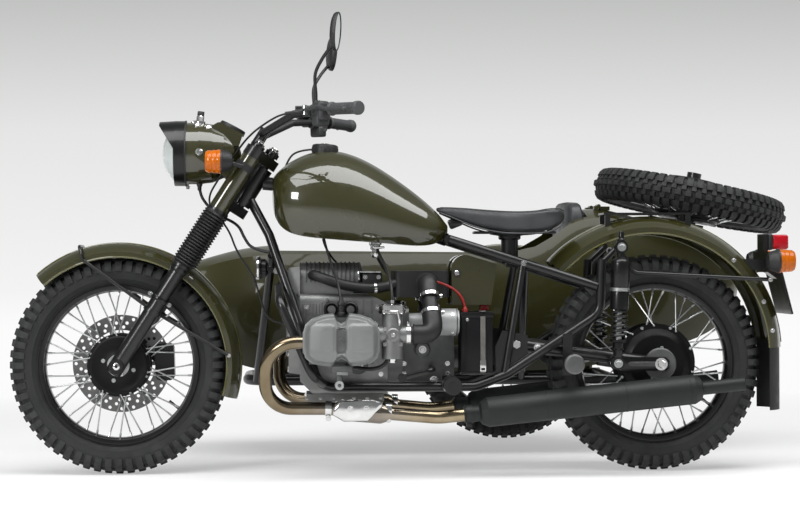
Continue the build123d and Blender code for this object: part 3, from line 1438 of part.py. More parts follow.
def cord(points, radius):
    """Flexible line through points, each corner turned as wide as its two runs allow."""
    points = [Vector(*point) for point in points]
    bends = []
    for before, corner, after in zip(points, points[1:], points[2:]):
        run_in, run_out = corner - before, after - corner
        turn = radians(run_in.get_angle(run_out))
        room = 0.49 * min(run_in.length, run_out.length)
        bends.append(min(room / tan(turn / 2), 900.0))
    return tube(points, radius, bends)


def control_cables():
    """Clutch cable from the left lever to the engine, and the loom from the headlamp to the frame."""
    bend, grip = bar_points(-1)[1], bar_points(-1)[2]
    run = (Vector(*grip) - Vector(*bend)).normalized()
    lever = Vector(*grip) - run * 34 + Vector(-46, -6, -4)
    out = Vector(-46, -6, -4).normalized()
    clutch = cord(
        [
            lever + out * LEVER_END, lever + out * 54, (446, -196, 1044), (392, -138, 1008), (352, -72, 962),
            at_fork(-48, -58, 640), at_fork(-46, -52, 556), at_fork(12, -50, 532), (330, -52, 728),
            (352, -52, 664), (404, -52, 590), (420, -52, 530), (446, -48, 450),
            (TIMING_FRONT - SEAT_GAP, -48, 450),
        ],
        CABLE_R,
    )
    under = LAMP_Z - (LAMP_R ** 2 - (20.0 - LOOM_R) ** 2) ** 0.5 - SEAT_GAP
    loom = cord(
        [
            (240, -20, under), (240, -20, under - 26), at_fork(-42, -22, 545), at_fork(8, -22, 536),
            at_fork(74, -30, 546), (374, -38, 706), (398, -40, 672), LOOM_END,
        ],
        LOOM_R,
    )
    return Compound(children=[*clutch.solids(), *loom.solids()])


def engine_hoses():
    """Fuel hoses and plug leads of both sides, the breather of the tank and the battery's lead."""
    tank = hull(TANK)
    below, above = Pos(0, 0, -SEAT_GAP) * tank, Pos(0, 0, SEAT_GAP) * tank
    lines = []
    for side in BOTH:
        shift = cylinder_x(side) - LEFT_CYLINDER_X
        carb_y = side * (HEAD_OUT - 28)
        top = CARB_TOP + SEAT_GAP
        fuel = [(CARB_X + shift, carb_y, top), (CARB_X + shift, carb_y, top + 56), (790, side * 150, 628),
                (772, side * 70, 664), (768, side * 60, 720)]
        lines.append(cord(fuel, HOSE_R) - below)
        x = cylinder_x(side)
        plug = CRANK_Z + 71 + SEAT_GAP
        lead = [(x, side * 287, plug), (x, side * 287, plug + 60), (x - 20, side * 190, 610),
                (620, side * 92, 668), (612, side * 80, 730)]
        lines.append(cord(lead, LEAD_R) - below)
    cap = FILLER_X - 34.0 - SEAT_GAP
    breather = cord([(cap, 0, 974), (cap - 40, 0, 972), (cap - 76, 0, 950), (494, 0, 900)], CABLE_R) - above
    battery_top = 484.0 + SEAT_GAP
    beside = -AIR_BOX_HALF - LEAD_R - SEAT_GAP
    power = cord(
        [(1030, -120, battery_top), (1030, -120, battery_top + 34), (990, beside - 1, 562), (940, beside, 576)],
        LEAD_R,
    )
    lines += [breather, power]
    return Compound(children=[solid for line in lines for solid in line.solids()])


def horn():
    """Round horn ahead of the left down tube, on its strap."""
    x, y, z = HORN_AT
    axis = Plane(origin=(x, y, z), x_dir=(0, 0, 1), z_dir=(1, 0, 0))
    dish = turned(
        [
            (0, 4), (HORN_R - 14, 4), (HORN_R - 8, 0), (HORN_R, 0), (HORN_R, 10), (HORN_R - 6, 14),
            (HORN_R - 8, HORN_DEEP - 8), (HORN_R - 18, HORN_DEEP), (0, HORN_DEEP),
        ],
        axis,
    )
    back = x + HORN_DEEP
    strap = side_plate([(back - 4, z - 8), (back - 4, z + 8), (486, z - 10), (486, z - 26)], y - 32, y - 28)
    strap += block(back - 4, back, y - 32, y + 4, z - 8, z + 8)
    down = tube(
        [(700, -CRADLE_HALF, CRADLE_Z), (596, -CRADLE_HALF, CRADLE_Z), (540, -132, 449), (448, -48, 716)],
        TUBE_R + SEAT_GAP, [60, 40],
    )
    return dish + strap - down


PARTS = {
    "frame": frame,
    "engine_guards": engine_guards,
    "crankcase": crankcase,
    "gearbox": gearbox,
    "starter_motor": starter_motor,
    "cylinders": cylinders,
    "rocker_covers": rocker_covers,
    "carburettors": carburettors,
    "air_intake": air_intake,
    "exhaust_pipes": exhaust_pipes,
    "silencers": silencers,
    "fuel_tank": fuel_tank,
    "saddle": saddle,
    "battery": battery,
    "side_covers": side_covers,
    "foot_rests": foot_rests,
    "foot_controls": foot_controls,
    "swing_arm": swing_arm,
    "shock_absorbers": shock_absorbers,
    "rear_fender": rear_fender,
    "rear_stays": rear_stays,
    "rear_carrier": rear_carrier,
    "rear_lamp_bracket": rear_lamp_bracket,
    "rear_lamps": rear_lamps,
    "mud_flap": mud_flap,
    "fork_legs": fork_legs,
    "fork_yokes": fork_yokes,
    "fork_covers": fork_covers,
    "fork_gaiters": fork_gaiters,
    "headlamp_shell": headlamp_shell,
    "headlamp_rim": headlamp_rim,
    "headlamp_lens": headlamp_lens,
    "front_indicators": front_indicators,
    "handlebar": handlebar,
    "hand_controls": hand_controls,
    "mirrors": mirrors,
    "front_fender": front_fender,
    "front_fender_stays": front_fender_stays,
    "brake_caliper": brake_caliper,
    "sidecar_frame": sidecar_frame,
    "sidecar_seat_cushion": sidecar_seat_cushion,
    "sidecar_seat_back": sidecar_seat_back,
    "sidecar_suspension": sidecar_suspension,
    "sidecar_fender": sidecar_fender,
    "sidecar_lamps": sidecar_lamps,
    "control_cables": control_cables,
    "engine_hoses": engine_hoses,
    "horn": horn,
}


def build():
    """All the pieces by name, with the origin on the ground under the middle of the vehicle."""
    shapes = {name: make() for name, make in PARTS.items()}
    front_wheel = spoked_wheel(FRONT_HUB, 92, 38)
    drum_wheel = spoked_wheel(DRUM_HUB, 116, 52)
    round_tyre = tyre()
    front = Pos(0, 0, TYRE_R)
    rear = Pos(REAR_AXLE_X, 0, TYRE_R)
    side = Pos(SIDECAR_AXLE_X, TRACK, TYRE_R)
    spare = SPARE.location * Rot(-90, 0, 0)
    shapes["front_tyre"] = front * round_tyre
    shapes["front_wheel"] = front * front_wheel
    shapes["brake_disc"] = front * brake_disc()
    for name, place in (("rear", rear), ("sidecar", side), ("spare", spare)):
        shapes[f"{name}_tyre"] = place * round_tyre
        shapes[f"{name}_wheel"] = place * drum_wheel
    shell = sidecar_shell()
    shapes["sidecar_body"] = sidecar_body(shell)
    shapes["boot_lid"] = boot_lid(shell)
    shapes["spare_carrier"] = spare_carrier()
    box = Compound(children=[solid for shape in shapes.values() for solid in shape.solids()]).bounding_box()
    home = Pos(-(box.min.X + box.max.X) / 2, -(box.min.Y + box.max.Y) / 2, -box.min.Z)
    return {name: home * shape for name, shape in shapes.items()}, home


def main():
    os.makedirs("parts", exist_ok=True)
    shapes, _ = build()
    for name, shape in shapes.items():
        export_step(shape, f"parts/{name}.step")


if __name__ == "__main__":
    main()
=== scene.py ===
"""Olive sidecar motorcycle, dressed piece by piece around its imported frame."""

from math import cos, hypot, pi, radians, sin, sqrt, tan

import bmesh
import bpy
from mathutils import Matrix, Vector


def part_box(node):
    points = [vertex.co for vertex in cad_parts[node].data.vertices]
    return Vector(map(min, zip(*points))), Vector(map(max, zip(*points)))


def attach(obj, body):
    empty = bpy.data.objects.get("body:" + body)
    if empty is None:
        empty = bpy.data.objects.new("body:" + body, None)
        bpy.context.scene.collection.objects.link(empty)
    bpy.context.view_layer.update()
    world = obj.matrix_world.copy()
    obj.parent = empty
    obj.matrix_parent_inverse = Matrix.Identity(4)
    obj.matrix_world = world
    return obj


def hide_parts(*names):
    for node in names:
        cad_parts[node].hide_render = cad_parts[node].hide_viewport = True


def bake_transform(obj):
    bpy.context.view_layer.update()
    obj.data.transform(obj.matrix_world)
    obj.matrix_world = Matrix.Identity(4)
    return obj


bl_info = {
    "name": "Sidecar Motorcycle",
    "version": (1, 0, 0),
    "blender": (4, 5, 0),
    "location": "View3D > Sidebar > Outfit",
    "description": "Builds an olive motorcycle outfit around its packed frame",
    "category": "Add Mesh",
}

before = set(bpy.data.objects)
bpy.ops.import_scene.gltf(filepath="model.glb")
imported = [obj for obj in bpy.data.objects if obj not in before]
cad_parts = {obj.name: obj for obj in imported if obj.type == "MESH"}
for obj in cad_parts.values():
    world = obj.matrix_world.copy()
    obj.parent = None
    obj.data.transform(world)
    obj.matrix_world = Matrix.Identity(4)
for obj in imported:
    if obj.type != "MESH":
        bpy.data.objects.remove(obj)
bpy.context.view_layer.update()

# Design frame: millimetres, X rearwards from the front axle, Y to the right, Z up from the ground.
MM = 0.001
BOTH = (-1, 1)
BEND_STEPS = 6
ARC_STEPS = 36


def middle_of(node):
    """Middle of a node's box, in the frame's metres."""
    low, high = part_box(node)
    return (low + high) / 2


HOME = Vector((middle_of("front_tyre").x, middle_of("front_tyre").y, 0.0))
TYRE_R = (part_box("front_tyre")[1].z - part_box("front_tyre")[0].z) / 2 / MM
WHEELBASE = (middle_of("rear_tyre").x - HOME.x) / MM
TRACK = (middle_of("sidecar_tyre").y - HOME.y) / MM
SIDECAR_AXLE_X = (middle_of("sidecar_tyre").x - HOME.x) / MM
TYRE_W = (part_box("front_tyre")[1].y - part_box("front_tyre")[0].y) / MM
SIDECAR_Y = (middle_of("spare_tyre").y - HOME.y) / MM

RAKE = radians(32.6)
FORK_HALF = 100.0
SLIDER_LEN = 346.0
COVER_BOTTOM = 546.0
COVER_R = 27.0
LAMP_AT = Vector((199.0, 0.0, 961.0))
LAMP_R = 93.0
RIM_INNER_R = 219.0
BEAD_R = 226.0
RIM_R = 240.0
RIM_HALF = 33.0
SPOKES = 40
HEAD_OUT = 305.0
CRANK_Z = 410.0
CYLINDER_X = {-1: 658.0, 1: 695.0}
# Engine: middle of the left carburettor, and how far out the ports, plugs and exhaust pipes lie
CARB_X, CARB_Z = 806.0, 424.0
PORT_OUT = 277.0
PLUG_OUT = 287.0
PIPE_OUT = 190.0
# Middle of the rear fender's arc
REAR_ARC = (1594, 360)
SPARE_TILT = radians(11.5)
SPARE_AT = Vector((1858.0, SIDECAR_Y, 838.0))


def home(point):
    """A design point in the frame's metres."""
    return HOME + Vector(point) * MM


def fork(x, y, z):
    """Design point of a point in the fork's own frame: Z up the legs from the axle."""
    return Vector((x * cos(RAKE) + z * sin(RAKE), y, TYRE_R - x * sin(RAKE) + z * cos(RAKE)))


FORK_UP = Vector((sin(RAKE), 0.0, cos(RAKE)))
FORK_BACK = Vector((cos(RAKE), 0.0, -sin(RAKE)))


def stagger(side):
    """How much further back one cylinder stands than the left one."""
    return CYLINDER_X[side] - CYLINDER_X[-1]


# Local frame squared to the vehicle, or a shift inside a local frame
moved = Matrix.Translation


def placed(origin, up, side=None):
    """Matrix of a local frame whose Z runs along up, in design millimetres."""
    up = Vector(up).normalized()
    side = Vector(side) if side is not None else (Vector((0, 0, 1)) if abs(up.z) < 0.9 else Vector((1, 0, 0)))
    across = (side - up * side.dot(up)).normalized()
    third = up.cross(across)
    turn = Matrix((across, third, up)).transposed().to_4x4()
    return moved(Vector(origin)) @ turn


def upward(place):
    """1 where a local frame's Y points up, -1 where it points down."""
    return 1 if (place.to_3x3() @ Vector((0, 1, 0))).z > 0 else -1


class Form:
    """Points and faces of one piece in design millimetres, each face with the number of its finish."""

    def __init__(self):
        self.points, self.faces, self.finishes = [], [], []

    def add(self, points, faces, finish, place):
        """Points, moved by a matrix where one is given, and the faces between them."""
        first = len(self.points)
        self.points.extend(place @ Vector(p) if place is not None else Vector(p) for p in points)
        self.faces.extend([first + i for i in face] for face in faces)
        self.finishes.extend([finish] * len(faces))
        return self

    def skin(self, rings, finish, place=None, closed=False, caps=False):
        """Quads between rings of equal length; the rings may join end to end."""
        count = len(rings[0])
        points = [p for ring in rings for p in ring]
        faces = []
        for i in range(len(rings) if closed else len(rings) - 1):
            a, b = i * count, (i + 1) % len(rings) * count
            for j in range(count):
                k = (j + 1) % count
                faces.append([a + j, a + k, b + k, b + j])
        if caps:
            faces.append(list(range(count))[::-1])
            faces.append([(len(rings) - 1) * count + j for j in range(count)])
        return self.add(points, faces, finish, place)

    def lathe(self, profile, place, steps, finish, closed=False):
        """Solid of revolution about a local Z axis from (radius, along) points."""
        rings = [
            [(r * cos(2 * pi * j / steps), r * sin(2 * pi * j / steps), a) for j in range(steps)]
            for r, a in profile
        ]
        return self.skin(rings, finish, place, closed=closed)

    def band(self, inner, outer, low, high, place, steps, finish):
        """Plain ring about a local Z axis."""
        profile = [(inner, low), (outer, low), (outer, high), (inner, high)]
        return self.lathe(profile, place, steps, finish, closed=True)

    def tube(self, path, radius, sides, finish):
        """Round bar along points; radius is one value or one for each point."""
        path = [Vector(p) for p in path]
        radii = radius if isinstance(radius, (list, tuple)) else [radius] * len(path)
        up = None
        rings = []
        for i, point in enumerate(path):
            run = (path[min(i + 1, len(path) - 1)] - path[max(i - 1, 0)]).normalized()
            if up is None:
                up = run.orthogonal().normalized()
            up = (up - run * up.dot(run)).normalized()
            side = run.cross(up)
            rings.append([
                point + (up * cos(2 * pi * j / sides) + side * sin(2 * pi * j / sides)) * radii[i]
                for j in range(sides)
            ])
        return self.skin(rings, finish, caps=True)

    def block(self, size, place, finish, bevel, rounds=2):
        """Box with its edges rounded off, centred on the local frame."""
        bm = bmesh.new()
        bmesh.ops.create_cube(bm, size=1.0)
        bmesh.ops.scale(bm, vec=Vector(size), verts=bm.verts)
        bmesh.ops.bevel(bm, geom=list(bm.edges), offset=bevel, segments=rounds, affect="EDGES", profile=0.5)
        return self.take(bm, finish, place)

    def plate(self, outline, depth, place, finish, bevel, rounds=1):
        """Flat plate from local (x, y) points, rising by its depth, with rounded edges."""
        bm = bmesh.new()
        low = bm.faces.new([bm.verts.new((x, y, 0.0)) for x, y in outline])
        bm.normal_update()
        if low.normal.z > 0:
            low.normal_flip()
        made = bmesh.ops.extrude_face_region(bm, geom=[low])
        top = [v for v in made["geom"] if isinstance(v, bmesh.types.BMVert)]
        bmesh.ops.translate(bm, vec=(0, 0, depth), verts=top)
        if not low.is_valid:
            bm.faces.new([v for v in bm.verts if v not in top])
        bmesh.ops.recalc_face_normals(bm, faces=list(bm.faces))
        if bevel:
            rim = [e for e in bm.edges if abs(e.verts[0].co.z - e.verts[1].co.z) < 1e-6]
            bmesh.ops.bevel(bm, geom=rim, offset=bevel, segments=rounds, affect="EDGES", profile=0.5)
        return self.take(bm, finish, place)

    def take(self, bm, finish, place):
        """Everything that an edit mesh holds, which is freed."""
        bm.verts.index_update()
        points = [v.co.copy() for v in bm.verts]
        faces = [[v.index for v in f.verts] for f in bm.faces]
        bm.free()
        return self.add(points, faces, finish, place)

    def bolt(self, origin, up, radius, finish, height=None):
        """Hexagon bolt head on a washer."""
        place = placed(origin, up)
        high = height or radius * 0.8
        washer = [(0, 0), (radius * 1.45, 0), (radius * 1.45, high * 0.2), (radius * 0.8, high * 0.2)]
        self.lathe(washer, place, 16, finish)
        hexagon = [(radius * cos(pi * k / 3), radius * sin(pi * k / 3)) for k in range(6)]
        return self.plate(hexagon, high, place, finish, radius * 0.14)

    def ball(self, centre, radius, finish, steps=16):
        """Round knob."""
        rows = [(radius * sin(pi * k / 8), -radius * cos(pi * k / 8)) for k in range(9)]
        return self.lathe(rows, moved(centre), steps, finish)

    def mesh(self, name, sharp):
        """Mesh in the frame's metres, welded, with its normals outwards."""
        mesh = bpy.data.meshes.new(name)
        bm = bmesh.new()
        verts = [bm.verts.new(home(p)) for p in self.points]
        for face, finish in zip(self.faces, self.finishes):
            try:
                made = bm.faces.new([verts[i] for i in face])
            except ValueError:
                continue
            made.material_index = finish
        bmesh.ops.remove_doubles(bm, verts=list(bm.verts), dist=2e-6)
        bmesh.ops.dissolve_degenerate(bm, dist=1e-6, edges=list(bm.edges))
        bmesh.ops.recalc_face_normals(bm, faces=list(bm.faces))
        bm.to_mesh(mesh)
        bm.free()
        mesh.shade_smooth()
        mesh.set_sharp_from_angle(angle=radians(sharp))
        return mesh


def flowing(points, per):
    """Points of a smooth line through the given ones."""
    points = [Vector(p) for p in points]
    line = []
    for i in range(len(points) - 1):
        a, b = points[max(i - 1, 0)], points[i]
        c, d = points[i + 1], points[min(i + 2, len(points) - 1)]
        for k in range(per):
            t = k / per
            line.append(0.5 * (2 * b + (c - a) * t + (2 * a - 5 * b + 4 * c - d) * t * t
                               + (3 * b - a - 3 * c + d) * t * t * t))
    return line + [points[-1]]


def bent(points, radius):
    """Points along a bent pipe: straight runs joined by round bends of one radius."""
    points = [Vector(p) for p in points]
    line = [points[0]]
    for a, b, c in zip(points, points[1:], points[2:]):
        before, after = (a - b).normalized(), (c - b).normalized()
        half = before.angle(after) / 2
        reach = radius / tan(half)
        centre = b + (before + after).normalized() * (radius / sin(half))
        first, last = (b + before * reach - centre).normalized(), (b + after * reach - centre).normalized()
        line += [centre + first.slerp(last, k / BEND_STEPS) * radius for k in range(BEND_STEPS + 1)]
    return line + [points[-1]]


def cord_line(points, per):
    """Points of the smooth spline that a cord follows, with its route as control points."""
    curve = bpy.data.curves.new("route", "CURVE")
    curve.dimensions = "3D"
    spline = curve.splines.new("NURBS")
    spline.points.add(len(points) - 1)
    for spot, point in zip(spline.points, points):
        spot.co = (*point, 1.0)
    spline.order_u = 3
    spline.use_endpoint_u = True
    spline.resolution_u = per
    route = bpy.data.objects.new("route", curve)
    mesh = bpy.data.meshes.new_from_object(route)
    line = [v.co.copy() for v in mesh.vertices]
    bpy.data.meshes.remove(mesh)
    bpy.data.objects.remove(route)
    bpy.data.curves.remove(curve)
    return line


def soft_step(low, high, value):
    """0 to 1 between two values, easing in and out."""
    t = min(1.0, max(0.0, (value - low) / (high - low)))
    return t * t * (3 - 2 * t)


def dressed(name, mesh, finishes):
    """Object of a mesh that wears the named finishes."""
    piece = bpy.data.objects.new(name, mesh)
    bpy.context.scene.collection.objects.link(piece)
    for finish in finishes:
        mesh.materials.append(FINISHES[finish])
    return piece


def show(name, form, body, finishes, stands_for=(), sharp=35.0):
    """Turns a form into a piece that rides on a body and stands for the named nodes."""
    piece = dressed(name, form.mesh(name, sharp), finishes)
    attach(piece, body)
    if stands_for:
        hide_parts(*stands_for)
    return piece


def rounded(piece, levels):
    """Rounds a piece off by so many steps of subdivision."""
    smooth = piece.modifiers.new("rounding", "SUBSURF")
    smooth.levels = smooth.render_levels = levels


# Finishes
FINISHES = {}


class Coat:
    """Node builder for one finish, working in the object's own metres."""

    def __init__(self, name):
        self.material = bpy.data.materials.new(name)
        self.material.use_nodes = True
        self.nodes = self.material.node_tree.nodes
        self.links = self.material.node_tree.links
        self.shader = self.nodes["Principled BSDF"]
        self.where = self.nodes.new("ShaderNodeTexCoord").outputs["Object"]
        self.height = None

    def set(self, **sockets):
        """Plain values of sockets, with _ for the space in their names."""
        for name, value in sockets.items():
            self.shader.inputs[name.replace("_", " ")].default_value = value
        return self

    def link(self, output, socket):
        """Feeds an output into a socket of the finish."""
        self.links.new(output, self.shader.inputs[socket])
        return self

    def grain(self, scale, detail=3.0):
        """Noise of so many cells to the metre."""
        node = self.nodes.new("ShaderNodeTexNoise")
        node.inputs["Scale"].default_value = scale
        node.inputs["Detail"].default_value = detail
        node.inputs["Roughness"].default_value = 0.55
        self.links.new(self.where, node.inputs["Vector"])
        return node.outputs["Fac"]

    def cells(self, scale):
        """Distance to the nearest of so many cells to the metre."""
        node = self.nodes.new("ShaderNodeTexVoronoi")
        node.inputs["Scale"].default_value = scale
        self.links.new(self.where, node.inputs["Vector"])
        return node.outputs["Distance"]

    def ramp(self, value, stops):
        """Colours between (place, colour) stops."""
        node = self.nodes.new("ShaderNodeValToRGB")
        elements = node.color_ramp.elements
        while len(elements) < len(stops):
            elements.new(0.5)
        for element, (place, colour) in zip(elements, stops):
            element.position = place
            element.color = (*colour, 1.0)
        self.links.new(value, node.inputs["Fac"])
        return node.outputs["Color"]

    def span(self, value, low, high, start=0.3, end=0.7):
        """A value between start and end, spread from low to high."""
        node = self.nodes.new("ShaderNodeMapRange")
        node.inputs["From Min"].default_value = start
        node.inputs["From Max"].default_value = end
        node.inputs["To Min"].default_value = low
        node.inputs["To Max"].default_value = high
        self.links.new(value, node.inputs["Value"])
        return node.outputs["Result"]

    def colour(self, value, dark, light):
        """Colour that drifts between two shades."""
        return self.link(self.ramp(value, [(0.3, dark), (0.7, light)]), "Base Color")

    def rough(self, value, low, high):
        """Gloss that drifts between two roughnesses."""
        return self.link(self.span(value, low, high), "Roughness")

    def bump(self, value, strength, depth):
        """Fine relief; several may be laid over each other."""
        node = self.nodes.new("ShaderNodeBump")
        node.inputs["Strength"].default_value = strength
        node.inputs["Distance"].default_value = depth * MM
        self.links.new(value, node.inputs["Height"])
        if self.height is not None:
            self.links.new(self.height, node.inputs["Normal"])
        self.height = node.outputs["Normal"]
        return self.link(self.height, "Normal")

    def along(self, axis):
        """Place along one of the frame's axes, in metres."""
        split = self.nodes.new("ShaderNodeSeparateXYZ")
        self.links.new(self.where, split.inputs["Vector"])
        return split.outputs[axis]

    def maths(self, operation, first, second):
        """Result of one operation on two outputs."""
        node = self.nodes.new("ShaderNodeMath")
        node.operation = operation
        self.links.new(first, node.inputs[0])
        self.links.new(second, node.inputs[1])
        return node.outputs["Value"]

    def rings(self, centre, scale):
        """Fine circles round an axle that lies across the vehicle."""
        mapping = self.nodes.new("ShaderNodeMapping")
        mapping.inputs["Location"].default_value = -home(centre)
        self.links.new(self.where, mapping.inputs["Vector"])
        flat = self.nodes.new("ShaderNodeVectorMath")
        flat.operation = "MULTIPLY"
        flat.inputs[1].default_value = (1.0, 0.0, 1.0)
        self.links.new(mapping.outputs["Vector"], flat.inputs[0])
        length = self.nodes.new("ShaderNodeVectorMath")
        length.operation = "LENGTH"
        self.links.new(flat.outputs["Vector"], length.inputs[0])
        node = self.nodes.new("ShaderNodeTexNoise")
        node.noise_dimensions = "1D"
        node.inputs["Scale"].default_value = scale
        node.inputs["Detail"].default_value = 4.0
        self.links.new(length.outputs["Value"], node.inputs["W"])
        return node.outputs["Fac"]

    def keep(self, name):
        """Files the finish under a name."""
        FINISHES[name] = self.material
        return self


def shades(colour, spread):
    """A darker and a lighter neighbour of a colour."""
    return [tuple(c * f for c in colour) for f in (1 - spread, 1 + spread)]


def plain_finish(name, colour, spread, patch, rough, relief, **sockets):
    """Finish with drifting colour and gloss, and a fine relief of (scale, strength, depth)."""
    coat = Coat(name)
    drift = coat.grain(patch, 4.0)
    coat.colour(drift, *shades(colour, spread)).rough(coat.grain(patch * 2.3, 5.0), *rough)
    scale, strength, depth = relief
    coat.bump(coat.grain(scale, 4.0), strength, depth)
    return coat.set(**sockets).keep(name)


class OutfitColours(bpy.types.PropertyGroup):
    """Colours that a user would change."""

    paint: bpy.props.FloatVectorProperty(
        name="Paint", description="Olive body paint", subtype="COLOR", size=3, min=0, max=1,
        default=(0.0295, 0.0283, 0.0072))
    steel_black: bpy.props.FloatVectorProperty(
        name="Black steel", description="Satin black of the tubes", subtype="COLOR", size=3, min=0, max=1,
        default=(0.0056, 0.0057, 0.0056))
    alloy: bpy.props.FloatVectorProperty(
        name="Alloy", description="Cast alloy of the engine", subtype="COLOR", size=3, min=0, max=1,
        default=(0.235, 0.24, 0.235))
    cover_alloy: bpy.props.FloatVectorProperty(
        name="Cover alloy", description="Tumbled alloy of the rocker covers", subtype="COLOR", size=3,
        min=0, max=1, default=(0.222, 0.229, 0.227))
    rubber: bpy.props.FloatVectorProperty(
        name="Rubber", description="Tyre rubber", subtype="COLOR", size=3, min=0, max=1,
        default=(0.0125, 0.0130, 0.0130))
    leather: bpy.props.FloatVectorProperty(
        name="Leather", description="Saddle leather", subtype="COLOR", size=3, min=0, max=1,
        default=(0.027, 0.0285, 0.031))
    amber: bpy.props.FloatVectorProperty(
        name="Amber", description="Indicator lenses", subtype="COLOR", size=3, min=0, max=1,
        default=(0.60, 0.135, 0.0012))
    tail_red: bpy.props.FloatVectorProperty(
        name="Tail red", description="Tail lamp lens", subtype="COLOR", size=3, min=0, max=1,
        default=(0.62, 0.006, 0.018))
    floor: bpy.props.FloatVectorProperty(
        name="Floor", description="Studio floor", subtype="COLOR", size=3, min=0, max=1,
        default=(0.90, 0.90, 0.90))


class OutfitSizes(bpy.types.PropertyGroup):
    """Sizes that a user would change."""

    knobs: bpy.props.IntProperty(
        name="Tread blocks", description="Blocks round each tyre", default=60, min=24, max=120)
    knob_height: bpy.props.FloatProperty(
        name="Block height", description="Height of a tread block", default=0.012, min=0.002, max=0.015,
        unit="LENGTH", subtype="DISTANCE")
    spoke: bpy.props.FloatProperty(
        name="Spoke", description="Thickness of a spoke", default=0.0044, min=0.002, max=0.008,
        unit="LENGTH", subtype="DISTANCE")
    pleats: bpy.props.IntProperty(
        name="Gaiter pleats", description="Pleats of a fork gaiter", default=19, min=6, max=40)
    lens: bpy.props.FloatProperty(
        name="Lens", description="Focal length of the camera", default=90.28, min=20, max=300,
        subtype="DISTANCE_CAMERA")


def colours():
    """The colours that a user has set."""
    return bpy.context.scene.outfit_colours


def sizes():
    """The sizes that a user has set."""
    return bpy.context.scene.outfit_sizes


